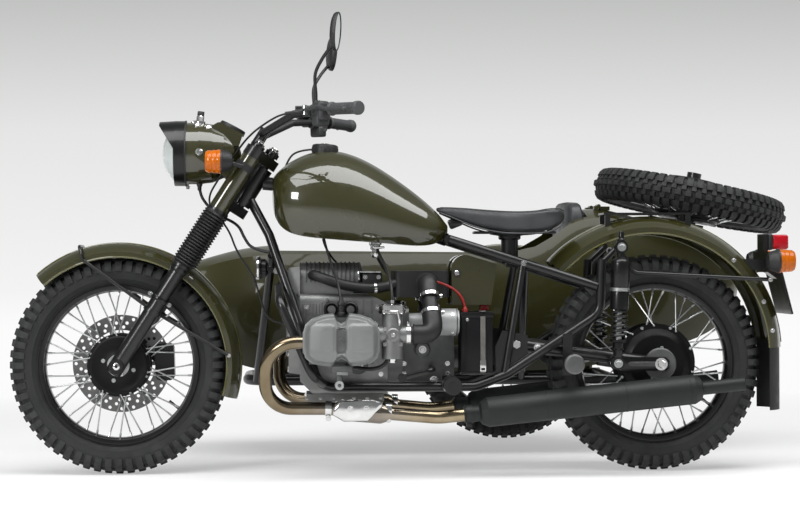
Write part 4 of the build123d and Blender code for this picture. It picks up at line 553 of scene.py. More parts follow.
def make_finishes():
    """Mixes every finish of the outfit."""
    c = colours()
    for name, label, low, high, weight, haze, index, shine in (
        ("paint", "olive_paint", 0.26, 0.36, 1.0, 0.03, 1.7, 0.2),
        ("sidecar_paint", "sidecar_paint", 0.34, 0.44, 0.5, 0.06, 1.4, 0.18),
    ):
        paint = Coat(label)
        paint.colour(paint.grain(2.2, 5.0), *shades(c.paint, 0.07)).rough(paint.grain(18, 5.0), low, high)
        paint.bump(paint.grain(420, 2.0), 0.05, 0.12)
        paint.set(Coat_Weight=weight, Coat_Roughness=haze, Coat_IOR=index, Specular_IOR_Level=shine)
        paint.keep(name)
    # The fender beads wear the olive paint 2.4 times lighter: painted highlight along the rolled edges.
    plain_finish("bead_highlight_paint", tuple(2.4 * v for v in c.paint), 0.1, 9, (0.16, 0.26), (500, 0.03, 0.1),
                 Coat_Weight=1.0, Coat_Roughness=0.03)
    plain_finish("black_steel", c.steel_black, 0.25, 7, (0.3, 0.42), (700, 0.06, 0.1), Coat_Weight=0.4,
                 Coat_Roughness=0.12, Specular_IOR_Level=0.35)
    plain_finish("gloss_black", (0.0032, 0.0032, 0.0034), 0.25, 9, (0.26, 0.36), (500, 0.04, 0.1),
                 Coat_Weight=0.3, Coat_Roughness=0.1, Specular_IOR_Level=0.3)
    plain_finish("hub_black", (0.003, 0.003, 0.0032), 0.25, 9, (0.36, 0.48), (500, 0.04, 0.1),
                 Specular_IOR_Level=0.2)
    plain_finish("black_plastic", (0.0105, 0.0107, 0.0112), 0.2, 14, (0.42, 0.56), (1500, 0.22, 0.15))
    plain_finish("control_black", (0.034, 0.0352, 0.0368), 0.2, 14, (0.42, 0.56), (1500, 0.22, 0.15))
    plain_finish("grip_rubber", (0.066, 0.068, 0.07), 0.15, 20, (0.55, 0.7), (1100, 0.2, 0.2))
    plain_finish("black_rubber", (0.0072, 0.0072, 0.0074), 0.25, 16, (0.42, 0.58), (900, 0.18, 0.2))
    plain_finish("tyre_rubber", c.rubber, 0.3, 10, (0.60, 0.82), (650, 0.35, 0.35))
    # The tread blocks and lugs wear the tyre rubber 1.65 times lighter: painted light on the blocks against
    # the darker gaps between them.
    plain_finish("painted_light_tread", tuple(1.65 * v for v in c.rubber), 0.4, 24, (0.62, 0.85), (500, 0.4, 0.4))
    cast = plain_finish("cast_alloy", c.alloy, 0.22, 12, (0.40, 0.56), (900, 0.35, 0.35), Metallic=0.85)
    cast.bump(cast.cells(700), 0.12, 0.2)
    dark_cast = plain_finish("dark_alloy", (0.115, 0.117, 0.116), 0.3, 12, (0.42, 0.6), (800, 0.3, 0.3),
                             Metallic=0.7)
    dark_cast.bump(dark_cast.cells(600), 0.1, 0.2)
    plain_finish("cover_alloy", c.cover_alloy, 0.09, 9, (0.46, 0.58), (1400, 0.16, 0.14), Metallic=0.55)
    plain_finish("starter_steel", (0.38, 0.392, 0.39), 0.1, 14, (0.42, 0.52), (900, 0.14, 0.12),
                 Metallic=0.35)
    plain_finish("spoke_steel", (0.46, 0.47, 0.47), 0.15, 30, (0.26, 0.38), (1500, 0.1, 0.1), Metallic=0.9)
    plain_finish("bright_steel", (0.72, 0.72, 0.71), 0.08, 25, (0.10, 0.2), (1200, 0.06, 0.1), Metallic=1.0)
    plain_finish("silencer_black", (0.0125, 0.0142, 0.0142), 0.14, 11, (0.46, 0.56), (1300, 0.15, 0.12),
                 Specular_IOR_Level=0.35)
    plain_finish("battery_case", (0.0052, 0.0054, 0.006), 0.2, 16, (0.3, 0.42), (1300, 0.15, 0.12),
                 Specular_IOR_Level=0.25)
    plain_finish("strap", (0.11, 0.105, 0.095), 0.25, 40, (0.4, 0.55), (900, 0.3, 0.3))
    plain_finish("red_cable", (0.30, 0.012, 0.012), 0.2, 40, (0.35, 0.5), (900, 0.1, 0.1))
    plain_finish("bulb_white", (0.80, 0.81, 0.79), 0.05, 60, (0.2, 0.35), (900, 0.05, 0.1))
    disc = Coat("disc_steel")
    lines = disc.rings((0, 64, TYRE_R), 2600)
    disc.colour(lines, (0.10, 0.10, 0.10), (0.24, 0.24, 0.235)).rough(lines, 0.28, 0.42)
    disc.bump(lines, 0.12, 0.1).set(Metallic=1.0).keep("disc_steel")
    pipe = Coat("tinted_pipe")
    smoke = pipe.grain(14, 5.0)
    run = pipe.span(pipe.along("X"), 0.0, 1.0, home((420, 0, 0)).x, home((1040, 0, 0)).x)
    heat = pipe.ramp(run, [(0.0, (0.235, 0.188, 0.118)), (0.16, (0.25, 0.205, 0.14)),
                           (0.30, (0.31, 0.268, 0.215)), (0.55, (0.32, 0.29, 0.255)),
                           (0.72, (0.38, 0.315, 0.22)), (1.0, (0.42, 0.35, 0.23))])
    stain = pipe.nodes.new("ShaderNodeMix")
    stain.data_type = "RGBA"
    stain.blend_type = "MULTIPLY"
    stain.inputs["Factor"].default_value = 0.6
    pipe.links.new(heat, stain.inputs["A"])
    pipe.links.new(pipe.ramp(smoke, [(0.3, (0.62, 0.56, 0.5)), (0.65, (1.0, 1.0, 1.0))]), stain.inputs["B"])
    pipe.link(stain.outputs["Result"], "Base Color").rough(pipe.grain(40, 5.0), 0.14, 0.26)
    pipe.bump(pipe.grain(900), 0.05, 0.1).set(Metallic=1.0).keep("tinted_pipe")
    leather = Coat("saddle_leather")
    leather.colour(leather.grain(16, 5.0), *shades(c.leather, 0.35)).rough(leather.grain(34, 5.0), 0.34, 0.5)
    leather.bump(leather.cells(420), 0.28, 0.35).bump(leather.grain(60, 4.0), 0.12, 0.6)
    leather.set(Specular_IOR_Level=0.55).keep("leather")
    for name, colour, clear in (("amber_lens", c.amber, 0.2), ("red_lens", c.tail_red, 0.4)):
        lens = plain_finish(name, colour, 0.12, 45, (0.10, 0.2), (500, 0.05, 0.1),
                            Transmission_Weight=clear, IOR=1.49)
        lens.set(Coat_Weight=0.15, Coat_Roughness=0.05, Specular_IOR_Level=0.25)
    glass = plain_finish("lamp_glass", (0.90, 0.95, 0.94), 0.03, 40, (0.02, 0.06), (260, 0.06, 0.2),
                         Transmission_Weight=0.55)
    glass.set(IOR=1.48)
    plain_finish("reflector", (0.88, 0.91, 0.91), 0.05, 30, (0.16, 0.26), (300, 0.08, 0.2), Metallic=0.5)
    plain_finish("mirror_glass", (0.78, 0.80, 0.81), 0.03, 30, (0.02, 0.05), (200, 0.01, 0.05), Metallic=1.0)


# Finish of each solid that shows as it is
CAD_FINISH = {
    "paint": "fuel_tank side_covers rear_fender sidecar_fender fork_covers headlamp_shell front_fender",
    "sidecar_paint": "sidecar_body boot_lid",
    "black_steel": "frame engine_guards swing_arm rear_stays rear_carrier rear_lamp_bracket sidecar_frame "
                   "sidecar_suspension fork_legs fork_yokes front_fender_stays spare_carrier "
                   "foot_controls foot_rests",
    "dark_alloy": "gearbox cylinders",
    "cast_alloy": "crankcase carburettors",
    "starter_steel": "starter_motor",
    "black_rubber": "air_intake mud_flap",
    "gloss_black": "headlamp_rim brake_caliper horn",
    "black_plastic": "handlebar hand_controls",
    "tinted_pipe": "exhaust_pipes",
    "silencer_black": "silencers",
    "disc_steel": "brake_disc",
}


# Wheels and tyres. Local wheel frame: Z along the axle, away from the side that shows.
def wheel_places():
    """Local frame of each wheel."""
    return {
        "front": placed((0, 0, TYRE_R), (0, 1, 0), (0, 0, 1)),
        "rear": placed((WHEELBASE, 0, TYRE_R), (0, 1, 0), (0, 0, 1)),
        "sidecar": placed((SIDECAR_AXLE_X, TRACK, TYRE_R), (0, 1, 0), (0, 0, 1)),
        "spare": placed(SPARE_AT, (-sin(SPARE_TILT), 0, -cos(SPARE_TILT)), (0, 1, 0)),
    }


# Body that each wheel rides on
WHEEL_BODY = {"front": "front_wheel", "rear": "rear_wheel", "sidecar": "sidecar_wheel", "spare": "boot_lid"}


def crown(offset, half):
    """Drop of the tread from its middle at a distance to the side."""
    return 22.0 * (offset / half) ** 2


# Outline of a shoulder lug: share of half the tyre's width, and drop from the top of the tread
LUG = [(0.50, 8.0), (0.74, 12.5), (0.92, 21.0), (1.0, 33.0), (0.985, 47.0), (0.78, 49.0), (0.50, 27.0)]


def tyre_form(place):
    """Tyre with rows of tread blocks and wrapped shoulder lugs."""
    form = Form()
    half, knob = TYRE_W / 2, sizes().knob_height / MM
    base = TYRE_R - knob
    edge = 0.78 * half
    seat = RIM_HALF - 5.5
    right = [(seat, BEAD_R + 1), (seat, RIM_R + 3), (seat + 6, RIM_R + 8), (half - 15, RIM_R + 17),
             (half - 13, RIM_R + 18.5), (half - 13, RIM_R + 20.5), (half - 8, RIM_R + 32),
             (half - 6, RIM_R + 42), (half - 6.5, base - 26), (half - 9, base - 17)]
    tread = [(edge * k / 6, base - crown(edge * k / 6, half)) for k in range(6, -7, -1)]
    outline = right + tread + [(-a, r) for a, r in reversed(right)]
    form.lathe([(r, a) for a, r in outline], place, 120, 0, closed=True)
    count = sizes().knobs
    for i in range(count):
        turn = 2 * pi * i / count
        tread_block(form, place, turn, 0.0, 17, 22, half, knob, 0.0)
        for side in BOTH:
            tread_block(form, place, turn + pi / count, side * 19.0, 15, 19, half, knob, 7.0)
            shoulder_lug(form, place, turn, side, half, 23.5)
    return form


def tread_block(form, place, turn, offset, wide, long, half, knob, sunk):
    """One tapered block, at a turn and a distance from the middle of the tread."""
    points = []
    for rise, shrink in ((-knob - 3.0, 1.0), (-1.4, 0.95), (0.0, 0.84)):
        for da, dt in ((-1, -1), (1, -1), (1, 1), (-1, 1)):
            a = offset + da * wide / 2 * shrink
            r = TYRE_R - crown(a, half) - sunk + rise
            t = turn + dt * long / 2 * shrink / TYRE_R
            points.append((r * cos(t), r * sin(t), a))
    faces = [[3, 2, 1, 0], [8, 9, 10, 11]]
    for ring in (0, 4):
        faces += [[ring + k, ring + (k + 1) % 4, ring + 4 + (k + 1) % 4, ring + 4 + k] for k in range(4)]
    form.add(points, faces, 1, place)


def shoulder_lug(form, place, turn, side, half, long):
    """Block that wraps from the tread over the shoulder onto the side wall."""
    points = []
    for end in BOTH:
        for k, (share, drop) in enumerate(LUG):
            wide = long if k > 4 else long * 0.9
            t = turn + end * wide / 2 / TYRE_R
            points.append(((TYRE_R - drop) * cos(t), (TYRE_R - drop) * sin(t), side * half * share))
    count = len(LUG)
    faces = [list(range(count)), [2 * count - 1 - k for k in range(count)]]
    faces += [[k, (k + 1) % count, count + (k + 1) % count, count + k] for k in range(count)]
    form.add(points, faces, 1, place)


# Hubs: (radius, along) from the side that shows to the far one
FRONT_HUB = [
    (11, -60), (36, -60), (38, -59), (76, -59), (78, -60), (84, -59.5), (87, -57), (87, -44), (94, -43),
    (94, -34), (60, -31), (48, -24), (46, 0), (48, 24), (60, 31), (94, 34), (94, 42), (74, 43), (72, 60),
    (11, 60),
]
DRUM_HUB = [
    (11, -75), (42, -75), (46, -73), (80, -74), (86, -72), (92, -66), (100, -62), (104, -57.5), (118, -56),
    (118, -48), (90, -46), (72, -38), (70, 0), (72, 38), (90, 46), (118, 48), (118, 56), (104, 58),
    (100, 66), (11, 66),
]


def wheel_form(place, hub, flange_r, flange_y, bolts_r):
    """Rim, hub, crossed spokes, bolts and valve of one wheel."""
    form = Form()
    lip = RIM_HALF
    rim = [(RIM_INNER_R, -16), (RIM_INNER_R + 1.5, -20), (BEAD_R - 3, -27), (BEAD_R - 2, -lip + 1),
           (BEAD_R + 1, -lip), (RIM_R - 2, -lip), (RIM_R, -lip + 2), (RIM_R - 1, -lip + 5),
           (BEAD_R, -lip + 5), (BEAD_R - 1, 0)]
    rim += [(r, -a) for r, a in reversed(rim[:-1])]
    form.lathe(rim, place, 96, 0, closed=True)
    form.lathe(hub, place, 64, 3, closed=True)
    wire = sizes().spoke / MM / 2
    step = 2 * pi / SPOKES
    for i in range(SPOKES):
        side = BOTH[i % 2]
        crossing = 1 if (i // 2) % 2 else -1
        foot = i * step + crossing * 1.6 * step
        start = Vector(((flange_r - 6) * cos(foot), (flange_r - 6) * sin(foot),
                        side * (flange_y + crossing * 5.0)))
        end = Vector(((RIM_INNER_R + 2) * cos(i * step), (RIM_INNER_R + 2) * sin(i * step), side * 6.0))
        run = (end - start).normalized()
        form.tube([place @ start, place @ (end - run * 16), place @ end], wire, 8, 1)
        form.tube([place @ (end - run * 17), place @ (end - run * 14), place @ (end + run * 2)],
                  [2.4, 3.4, 3.4], 6, 1)
        form.ball(place @ start, 3.4, 1, 8)
    left = hub[0][1]
    for k in range(8):
        turn = pi / 8 + k * pi / 4
        spot = place @ Vector((bolts_r * cos(turn), bolts_r * sin(turn), -flange_y - 4))
        form.bolt(spot, place.to_3x3() @ Vector((0, 0, -1)), 4.0, 1)
    for k in range(4):
        turn = k * pi / 2 + 0.3
        spot = place @ Vector((47 * cos(turn), 47 * sin(turn), left + 1))
        form.bolt(spot, place.to_3x3() @ Vector((0, 0, -1)), 4.2, 1)
    form.lathe([(20, left - 0.4), (33, left - 0.4), (34, left + 0.6), (34, left + 3), (20, left + 3)],
               place, 40, 1, closed=True)
    spoke = Vector((cos(radians(127)), sin(radians(127)), 0))
    valve = place @ (spoke * (RIM_INNER_R - 1))
    inward = place.to_3x3() @ -spoke
    form.tube([valve + inward * -3, valve + inward * 14, valve + inward * 30], [5, 4, 4], 10, 2)
    form.tube([valve + inward * 20, valve + inward * 34], 4.8, 10, 2)
    return form


def build_wheels():
    for name, place in wheel_places().items():
        tyre = tyre_form(place)
        # Slot 1, on the tread blocks and lugs, is the lighter rubber that carries painted light.
        show(f"{name}_tyre_tread", tyre, WHEEL_BODY[name], ["tyre_rubber", "painted_light_tread"],
             [f"{name}_tyre"], 40)
        if name == "front":
            wheel = wheel_form(place, FRONT_HUB, 94, 38, 89)
        else:
            wheel = wheel_form(place, DRUM_HUB, 118, 52, 111)
        show(f"{name}_spoked_wheel", wheel, WHEEL_BODY[name],
             ["gloss_black", "spoke_steel", "black_rubber", "hub_black"],
             [f"{name}_wheel"], 38)


# Stage: the floor in metres, the lamps and the camera in design millimetres
FLOOR_XS = (-22.0, -10.0, 0.0, 10.0, 22.0)
FLOOR_FRONT, SWEEP_Y, SWEEP_R, WALL_TOP = -14.0, 13.0, 4.0, 16.0
SWEEP_STEPS = 14
LAMPS = [
    # name, place, aim, width and height in metres, watts
    ("top_box", (1600, -1300, 4300), (1300, 0, 400), 8.0, 2.6, 325.0),
    ("key_box", (-2300, -3800, 2300), (600, 0, 600), 1.3, 1.3, 90.0),
]
CAMERA_AT = (520.85, -6064.97, 628.13)
CAMERA_YAW, CAMERA_PITCH, CAMERA_ROLL = 0.0531, 0.0056, -0.0023


def build_floor(scene):
    """Floor that sweeps up into a pale backdrop, which glows to camera, gloss and glass rays with painted
    shade that darkens up the wall.
    """
    turns = [pi / 2 * k / SWEEP_STEPS for k in range(1, SWEEP_STEPS + 1)]
    profile = [(FLOOR_FRONT, 0.0), (SWEEP_Y, 0.0)]
    profile += [(SWEEP_Y + SWEEP_R * sin(a), SWEEP_R - SWEEP_R * cos(a)) for a in turns]
    profile += [(SWEEP_Y + SWEEP_R, WALL_TOP)]
    count = len(FLOOR_XS)
    mesh = bpy.data.meshes.new("studio_floor")
    mesh.from_pydata([(x, y, z) for y, z in profile for x in FLOOR_XS], [],
                     [[i * count + j, i * count + j + 1, (i + 1) * count + j + 1, (i + 1) * count + j]
                      for i in range(len(profile) - 1) for j in range(count - 1)])
    mesh.shade_smooth()
    floor = bpy.data.objects.new("studio_floor", mesh)
    scene.collection.objects.link(floor)
    coat = Coat("studio_sweep")
    coat.colour(coat.grain(3.0), *shades(colours().floor, 0.01)).set(Roughness=0.9, Specular_IOR_Level=0.1)
    # The glow darkens from near white at the floor to grey high up: painted shade of the light falling off up
    # the backdrop.
    rise = coat.ramp(coat.span(coat.along("Z"), 0.0, 1.0, 0.0, 4.3),
                     [(0.0, (0.97, 0.97, 0.97)), (0.08, (0.90, 0.90, 0.90)), (0.5, (0.78, 0.785, 0.78)),
                      (1.0, (0.44, 0.45, 0.44))])
    glow = coat.nodes.new("ShaderNodeEmission")
    coat.links.new(rise, glow.inputs["Color"])
    ray = coat.nodes.new("ShaderNodeLightPath").outputs
    seen = coat.maths("MAXIMUM", ray["Is Camera Ray"], ray["Is Glossy Ray"])
    seen = coat.maths("MAXIMUM", seen, ray["Is Transmission Ray"])
    far = coat.maths("MULTIPLY", seen, coat.span(coat.along("Y"), 0.42, 1.0, 0.4, 3.2))
    mix = coat.nodes.new("ShaderNodeMixShader")
    coat.links.new(far, mix.inputs["Fac"])
    coat.links.new(coat.shader.outputs["BSDF"], mix.inputs[1])
    coat.links.new(glow.outputs["Emission"], mix.inputs[2])
    coat.links.new(mix.outputs["Shader"], coat.nodes["Material Output"].inputs["Surface"])
    mesh.materials.append(coat.material)


def build_lights(scene):
    """Soft boxes and the even light of the room."""
    world = bpy.data.worlds.new("studio_air")
    scene.world = world
    world.use_nodes = True
    air = world.node_tree.nodes["Background"]
    air.inputs["Color"].default_value = (0.93, 0.95, 0.96, 1.0)
    air.inputs["Strength"].default_value = 0.24
    for name, spot, aim, wide, high, power in LAMPS:
        light = bpy.data.lights.new(name, "AREA")
        light.shape = "RECTANGLE"
        light.size, light.size_y, light.energy = wide, high, power
        lamp = bpy.data.objects.new(name, light)
        scene.collection.objects.link(lamp)
        lamp.location = home(spot)
        lamp.rotation_euler = (home(aim) - home(spot)).to_track_quat("-Z", "Y").to_euler()


def build_camera(scene):
    """Camera square to the left side, apart from a slight turn."""
    lens = bpy.data.cameras.new("studio_camera")
    lens.sensor_fit = "HORIZONTAL"
    lens.sensor_width = 36.0
    lens.lens = sizes().lens
    lens.clip_end = 200.0
    camera = bpy.data.objects.new("studio_camera", lens)
    scene.collection.objects.link(camera)
    yaw, pitch, roll = CAMERA_YAW, CAMERA_PITCH, CAMERA_ROLL
    ahead = Vector((sin(yaw) * cos(pitch), cos(yaw) * cos(pitch), sin(pitch)))
    right = Vector((cos(yaw), -sin(yaw), 0.0))
    up = right.cross(ahead)
    right, up = right * cos(roll) + up * sin(roll), up * cos(roll) - right * sin(roll)
    turn = Matrix((right, up, -ahead)).transposed().to_4x4()
    camera.matrix_world = moved(home(CAMERA_AT)) @ turn
    scene.camera = camera


def build_stage():
    scene = bpy.context.scene
    scene.view_settings.view_transform = "Standard"
    build_floor(scene)
    build_lights(scene)
    build_camera(scene)


def build_finishes():
    """Mixes the finishes and paints the solids that show as they are."""
    make_finishes()
    for finish, nodes in CAD_FINISH.items():
        for name in nodes.split():
            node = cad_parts[name]
            node.data.materials.clear()
            node.data.materials.append(FINISHES[finish])


# Fork, headlamp and handlebar
def build_gaiters():
    count = sizes().pleats
    form = Form()
    for side in BOTH:
        place = placed(fork(0, side * FORK_HALF, 0), FORK_UP)
        low, high = SLIDER_LEN + 0.5, COVER_BOTTOM + 6
        pitch = (high - low - 26) / count
        profile = [(21, low), (28, low), (28.5, low + 10), (27, low + 13)]
        for i in range(count):
            z = low + 13 + i * pitch
            swell = 35.5 if i < count - 1 else 33.5
            profile += [(29.5, z), (swell - 1.2, z + pitch * 0.32), (swell, z + pitch * 0.5),
                        (swell - 1.2, z + pitch * 0.68)]
        profile += [(29.5, high - 13), (29, high - 11), (29, high), (21, high)]
        form.lathe(profile, place, 40, 0, closed=True)
        for z in (low + 5, high - 5):
            form.band(28, 30, z - 3, z + 3, place, 40, 1)
    show("pleated_gaiters", form, "steering", ["black_rubber", "black_steel"],
         ["fork_gaiters"], 50)


def build_fork_trim():
    form = Form()
    for side in BOTH:
        cap = fork(0, side * FORK_HALF, 776)
        form.lathe([(0, 8), (11, 8), (13, 5), (15, 0), (23, 0), (23, -6), (0, -6)],
                   placed(cap, FORK_UP), 24, 0)
        form.bolt(cap + FORK_UP * 8, FORK_UP, 9.5, 1)
        boss = fork(0, side * (FORK_HALF + 24), 0)
        axle_end = placed(boss, (0, side, 0))
        form.lathe([(0, 3), (20, 3), (22, 0), (22, -6), (0, -6)], axle_end, 28, 0)
        form.lathe([(0, 7), (8, 7), (10.5, 5.5), (11, 3), (11, -2)], axle_end, 28, 1)
        form.lathe([(0, 8.4), (3.6, 8.4), (4.6, 7.2), (4.6, 6)], axle_end, 16, 0)
        collar = placed(fork(0, side * FORK_HALF, 234), FORK_UP)
        form.lathe([(24.2, -7), (28, -7), (29, -5), (29, 5), (28, 7), (24.2, 7)], collar, 40, 0, closed=True)
        for x in (-33, 33):
            lug = fork(x, side * FORK_HALF, 234)
            form.block((16, 12, 12), placed(lug, FORK_UP, FORK_BACK), 0, 3, 2)
            form.bolt(lug + Vector((0, side * 6, 0)), (0, side, 0), 4.6, 1)
        form.lathe([(24.2, 330), (27.5, 331), (28, 334), (28, 344), (24.2, 345)],
                   placed(fork(0, side * FORK_HALF, 0), FORK_UP), 40, 0)
        pinch = fork(26, side * FORK_HALF, -14)
        form.bolt(pinch, FORK_BACK, 5, 1)
        for z in (751, 580):
            form.bolt(fork(-20, side * (FORK_HALF - 22), z), -FORK_BACK, 4.5, 1)
    stem = fork(45, 0, 780)
    form.lathe([(0, 10), (14, 10), (18, 6), (22, 4), (22, -10), (0, -10)], placed(stem, FORK_UP), 24, 0)
    form.bolt(stem + FORK_UP * 9, FORK_UP, 12, 1)
    show("fork_bolts", form, "steering", ["gloss_black", "bright_steel"])


def build_headlamp():
    face = placed(LAMP_AT, (-1, 0, 0), (0, 0, 1))
    bowl = Form()
    bowl.lathe([(84.5, 33), (82, 31), (70, 21), (54, 12), (34, 5), (18, 2.5), (0, 2.5)], face, 64, 0)
    bowl.lathe([(0, 26), (7, 24), (9, 18), (9, 3), (14, 2.6)], face, 24, 1)
    edge, bulge = 84.6, 34.0
    sphere = (edge ** 2 + bulge ** 2) / (2 * bulge)
    outside, inside = [], []
    for k in range(15):
        r = edge * k / 14
        rise = 36 + bulge - sphere + sqrt(sphere ** 2 - r ** 2)
        outside.append((r, rise))
        inside.append((r * 0.985, rise - 3.0))
    lens = Form()
    lens.lathe(outside + [(edge, 33.5)] + list(reversed(inside)), face, 72, 0)
    for k in range(-5, 6):
        y = k * 14.0
        reach = sqrt(max(0.0, 74.0 ** 2 - y * y))
        ridge = []
        for t in range(13):
            x = -reach + 2 * reach * t / 12
            r = hypot(x, y)
            ridge.append(face @ Vector((x, y, 32.5 + bulge - sphere + sqrt(sphere ** 2 - r * r))))
        lens.tube(ridge, 1.3, 6, 0)
    show("headlamp_bowl", bowl, "steering", ["reflector", "bulb_white"])
    show("headlamp_glass", lens, "steering", ["lamp_glass"], ["headlamp_lens"], 40)
    trim = Form()
    trim.lathe([(LAMP_R + 0.4, -2.5), (LAMP_R + 6.4, -2.5), (LAMP_R + 6.4, 1.5), (LAMP_R + 4.6, 2.6)],
               face, 72, 2)
    for side in BOTH:
        hinge = Vector((244, side * 94, 960))
        trim.lathe([(0, 9), (8, 9), (10, 7), (10, 4), (13, 3.5), (13, 0), (0, 0)],
                   placed(hinge, (0, side, 0)), 28, 1)
        trim.bolt(hinge + Vector((0, side * 8, 0)), (0, side, 0), 5.5, 1)
    trim.bolt((204, 0, 863), (0, 0, -1), 5, 1, 9)
    trim.tube([(204, 0, 872), (204, 0, 862)], 4, 10, 1)
    key = Vector((241, -16, 1051))
    lift = Vector((0.12, -0.1, 1)).normalized()
    trim.lathe([(0, 24), (9, 24), (12, 21), (12, 8), (16, 7), (17, 4), (17, -12), (0, -12)],
               placed(key, lift), 32, 1)
    trim.block((21, 9, 15), placed(key + lift * 29, lift, (1, -0.3, 0)), 2, 3, 2)
    for x, y, r in ((234, -40, 9.5), (268, -44, 9.5), (234, 40, 9.5), (268, 44, 9.5), (222, 8, 7)):
        height = LAMP_AT.z + sqrt(max(0, (LAMP_R - (4 if x > 260 else 0)) ** 2 - y * y))
        out = Vector((0.0, y, height - LAMP_AT.z)).normalized()
        spot = Vector((x, y, height))
        trim.lathe([(0, 8), (r * 0.5, 7), (r * 0.8, 4.5), (r, 3.5), (r + 2, 2.5), (r + 2, -6), (0, -6)],
                   placed(spot, out), 24, 1)
    dial = placed((337, 0, 1034.5), Vector((0.4626, 0, 0.8866)))
    trim.lathe([(0, 8), (34, 8), (36, 11), (39, 10.5), (41, 6), (41, -5), (0, -5)], dial, 48, 2)
    trim.lathe([(30, 8.2), (31.5, 9), (33, 8.2)], dial, 44, 1)
    for k in range(9):
        turn = radians(-120 + 30 * k)
        spot = dial @ Vector((26 * cos(turn), 26 * sin(turn), 8.4))
        trim.block((7, 1.4, 1), placed(spot, dial.to_3x3() @ Vector((0, 0, 1)),
                                       dial.to_3x3() @ Vector((cos(turn), sin(turn), 0))), 1, 0.3, 1)
    show("headlamp_trim", trim, "steering", ["paint", "bright_steel", "black_plastic"])


INDICATOR_R, INDICATOR_LEN, INDICATOR_CUP = 33.5, 49, 33


def indicator(form, place):
    """Round lens with three stepped rings and a black cup behind it; the lens looks along local -Z."""
    radius, length, cup = INDICATOR_R, INDICATOR_LEN, INDICATOR_CUP
    profile = [(0, -0.5), (radius * 0.6, 0), (radius * 0.86, 2), (radius - 2.6, 6)]
    for k, share in enumerate((0.14, 0.42, 0.70)):
        a = length * share
        profile += [(radius - 2.2 + k, a), (radius - 0.6 + k, a + 2.4), (radius - 0.4 + k, a + length * 0.26)]
    profile += [(radius + 2.2, length - 2), (radius + 2.2, length), (0, length)]
    form.lathe(profile, place, 40, 0)
    form.lathe([(radius - 1, length - 2.5), (radius + 2.6, length - 2.5), (radius + 2.6, length + 3),
                (radius, length + 6), (radius - 4, length + cup - 12), (radius - 11, length + cup - 2),
                (0, length + cup)], place, 40, 1)


def build_indicators():
    form = Form()
    for side in BOTH:
        at = Vector((262, side * 166, 929))
        indicator(form, placed(at, (1, 0, 0), (0, 0, 1)))
        stem = at + Vector((68, 0, 0))
        leg = fork(0, side * (FORK_HALF + 22), 700)
        form.tube([stem, stem + Vector((0, -side * 30, 0)), leg + Vector((-12, side * 5, 0)), leg], 7, 12, 1)
        clamp = placed(fork(0, side * FORK_HALF, 688), FORK_UP)
        form.band(COVER_R + 0.4, COVER_R + 3, 0, 22, clamp, 40, 1)
    show("front_flashers", form, "steering", ["amber_lens", "black_plastic"],
         ["front_indicators"])
    rear = Form()
    for side in BOTH:
        at = Vector((2017, side * 136, 634))
        indicator(rear, placed(at, (-1, 0, 0), (0, 0, 1)))
        rear.tube([at + Vector((-66, 0, 0)), at + Vector((-64, -side * 39, 0))], 8, 12, 1)
    red = placed((1961, 0, 691.5), (1, 0, 0), (0, 1, 0))
    rear.block((94, 49, 14), placed((1968, 0, 691.5), (1, 0, 0), (0, 1, 0)), 1, 5, 3)
    rear.block((90, 45, 50), red @ moved((0, 0, 37)), 2, 8, 4)
    for k in range(9):
        rear.block((84, 1.6, 42), red @ moved((0, -18 + 4.5 * k, 41)), 2, 0.6, 1)
    for y in (-30, 30):
        rear.bolt((2022, y, 691), (1, 0, 0), 3.0, 3)
    show("tail_lamps", rear, "chassis", ["amber_lens", "black_plastic", "red_lens", "bright_steel"],
         ["rear_lamps"])
    markers = Form()
    for angle, lens in ((128.0, 0), (40.0, 2)):
        out = Vector((cos(radians(angle)), 0, sin(radians(angle))))
        spot = Vector((SIDECAR_AXLE_X, TRACK, TYRE_R)) + out * 371.5
        place = placed(spot, out)
        markers.lathe([(0, 10), (25, 10), (27, 8), (27, 0), (0, 0)], place, 36, 1)
        markers.lathe([(23, 10), (23, 24), (21, 30), (15, 36), (7, 38.5), (0, 39)], place, 36, lens)
        for k in range(4):
            markers.lathe([(22.6, 12 + 3.4 * k), (23.8, 13 + 3.4 * k), (22.6, 14 + 3.4 * k)], place, 36, lens)
    show("sidecar_marker_lamps", markers, "chassis", ["amber_lens", "black_plastic", "red_lens"],
         ["sidecar_lamps"])


BAR_CLAMP = fork(-10, 0, 813)
GRIP_IN = Vector((618, 270, 1076))
GRIP_OUT = Vector((704, 376, 1071))
BAR_BEND = Vector((BAR_CLAMP.x + 90, 170, BAR_CLAMP.z + 48))


def mirrored(point, side):
    """A right-hand point, or its mirror image on the left."""
    return Vector((point.x, side * point.y, point.z))


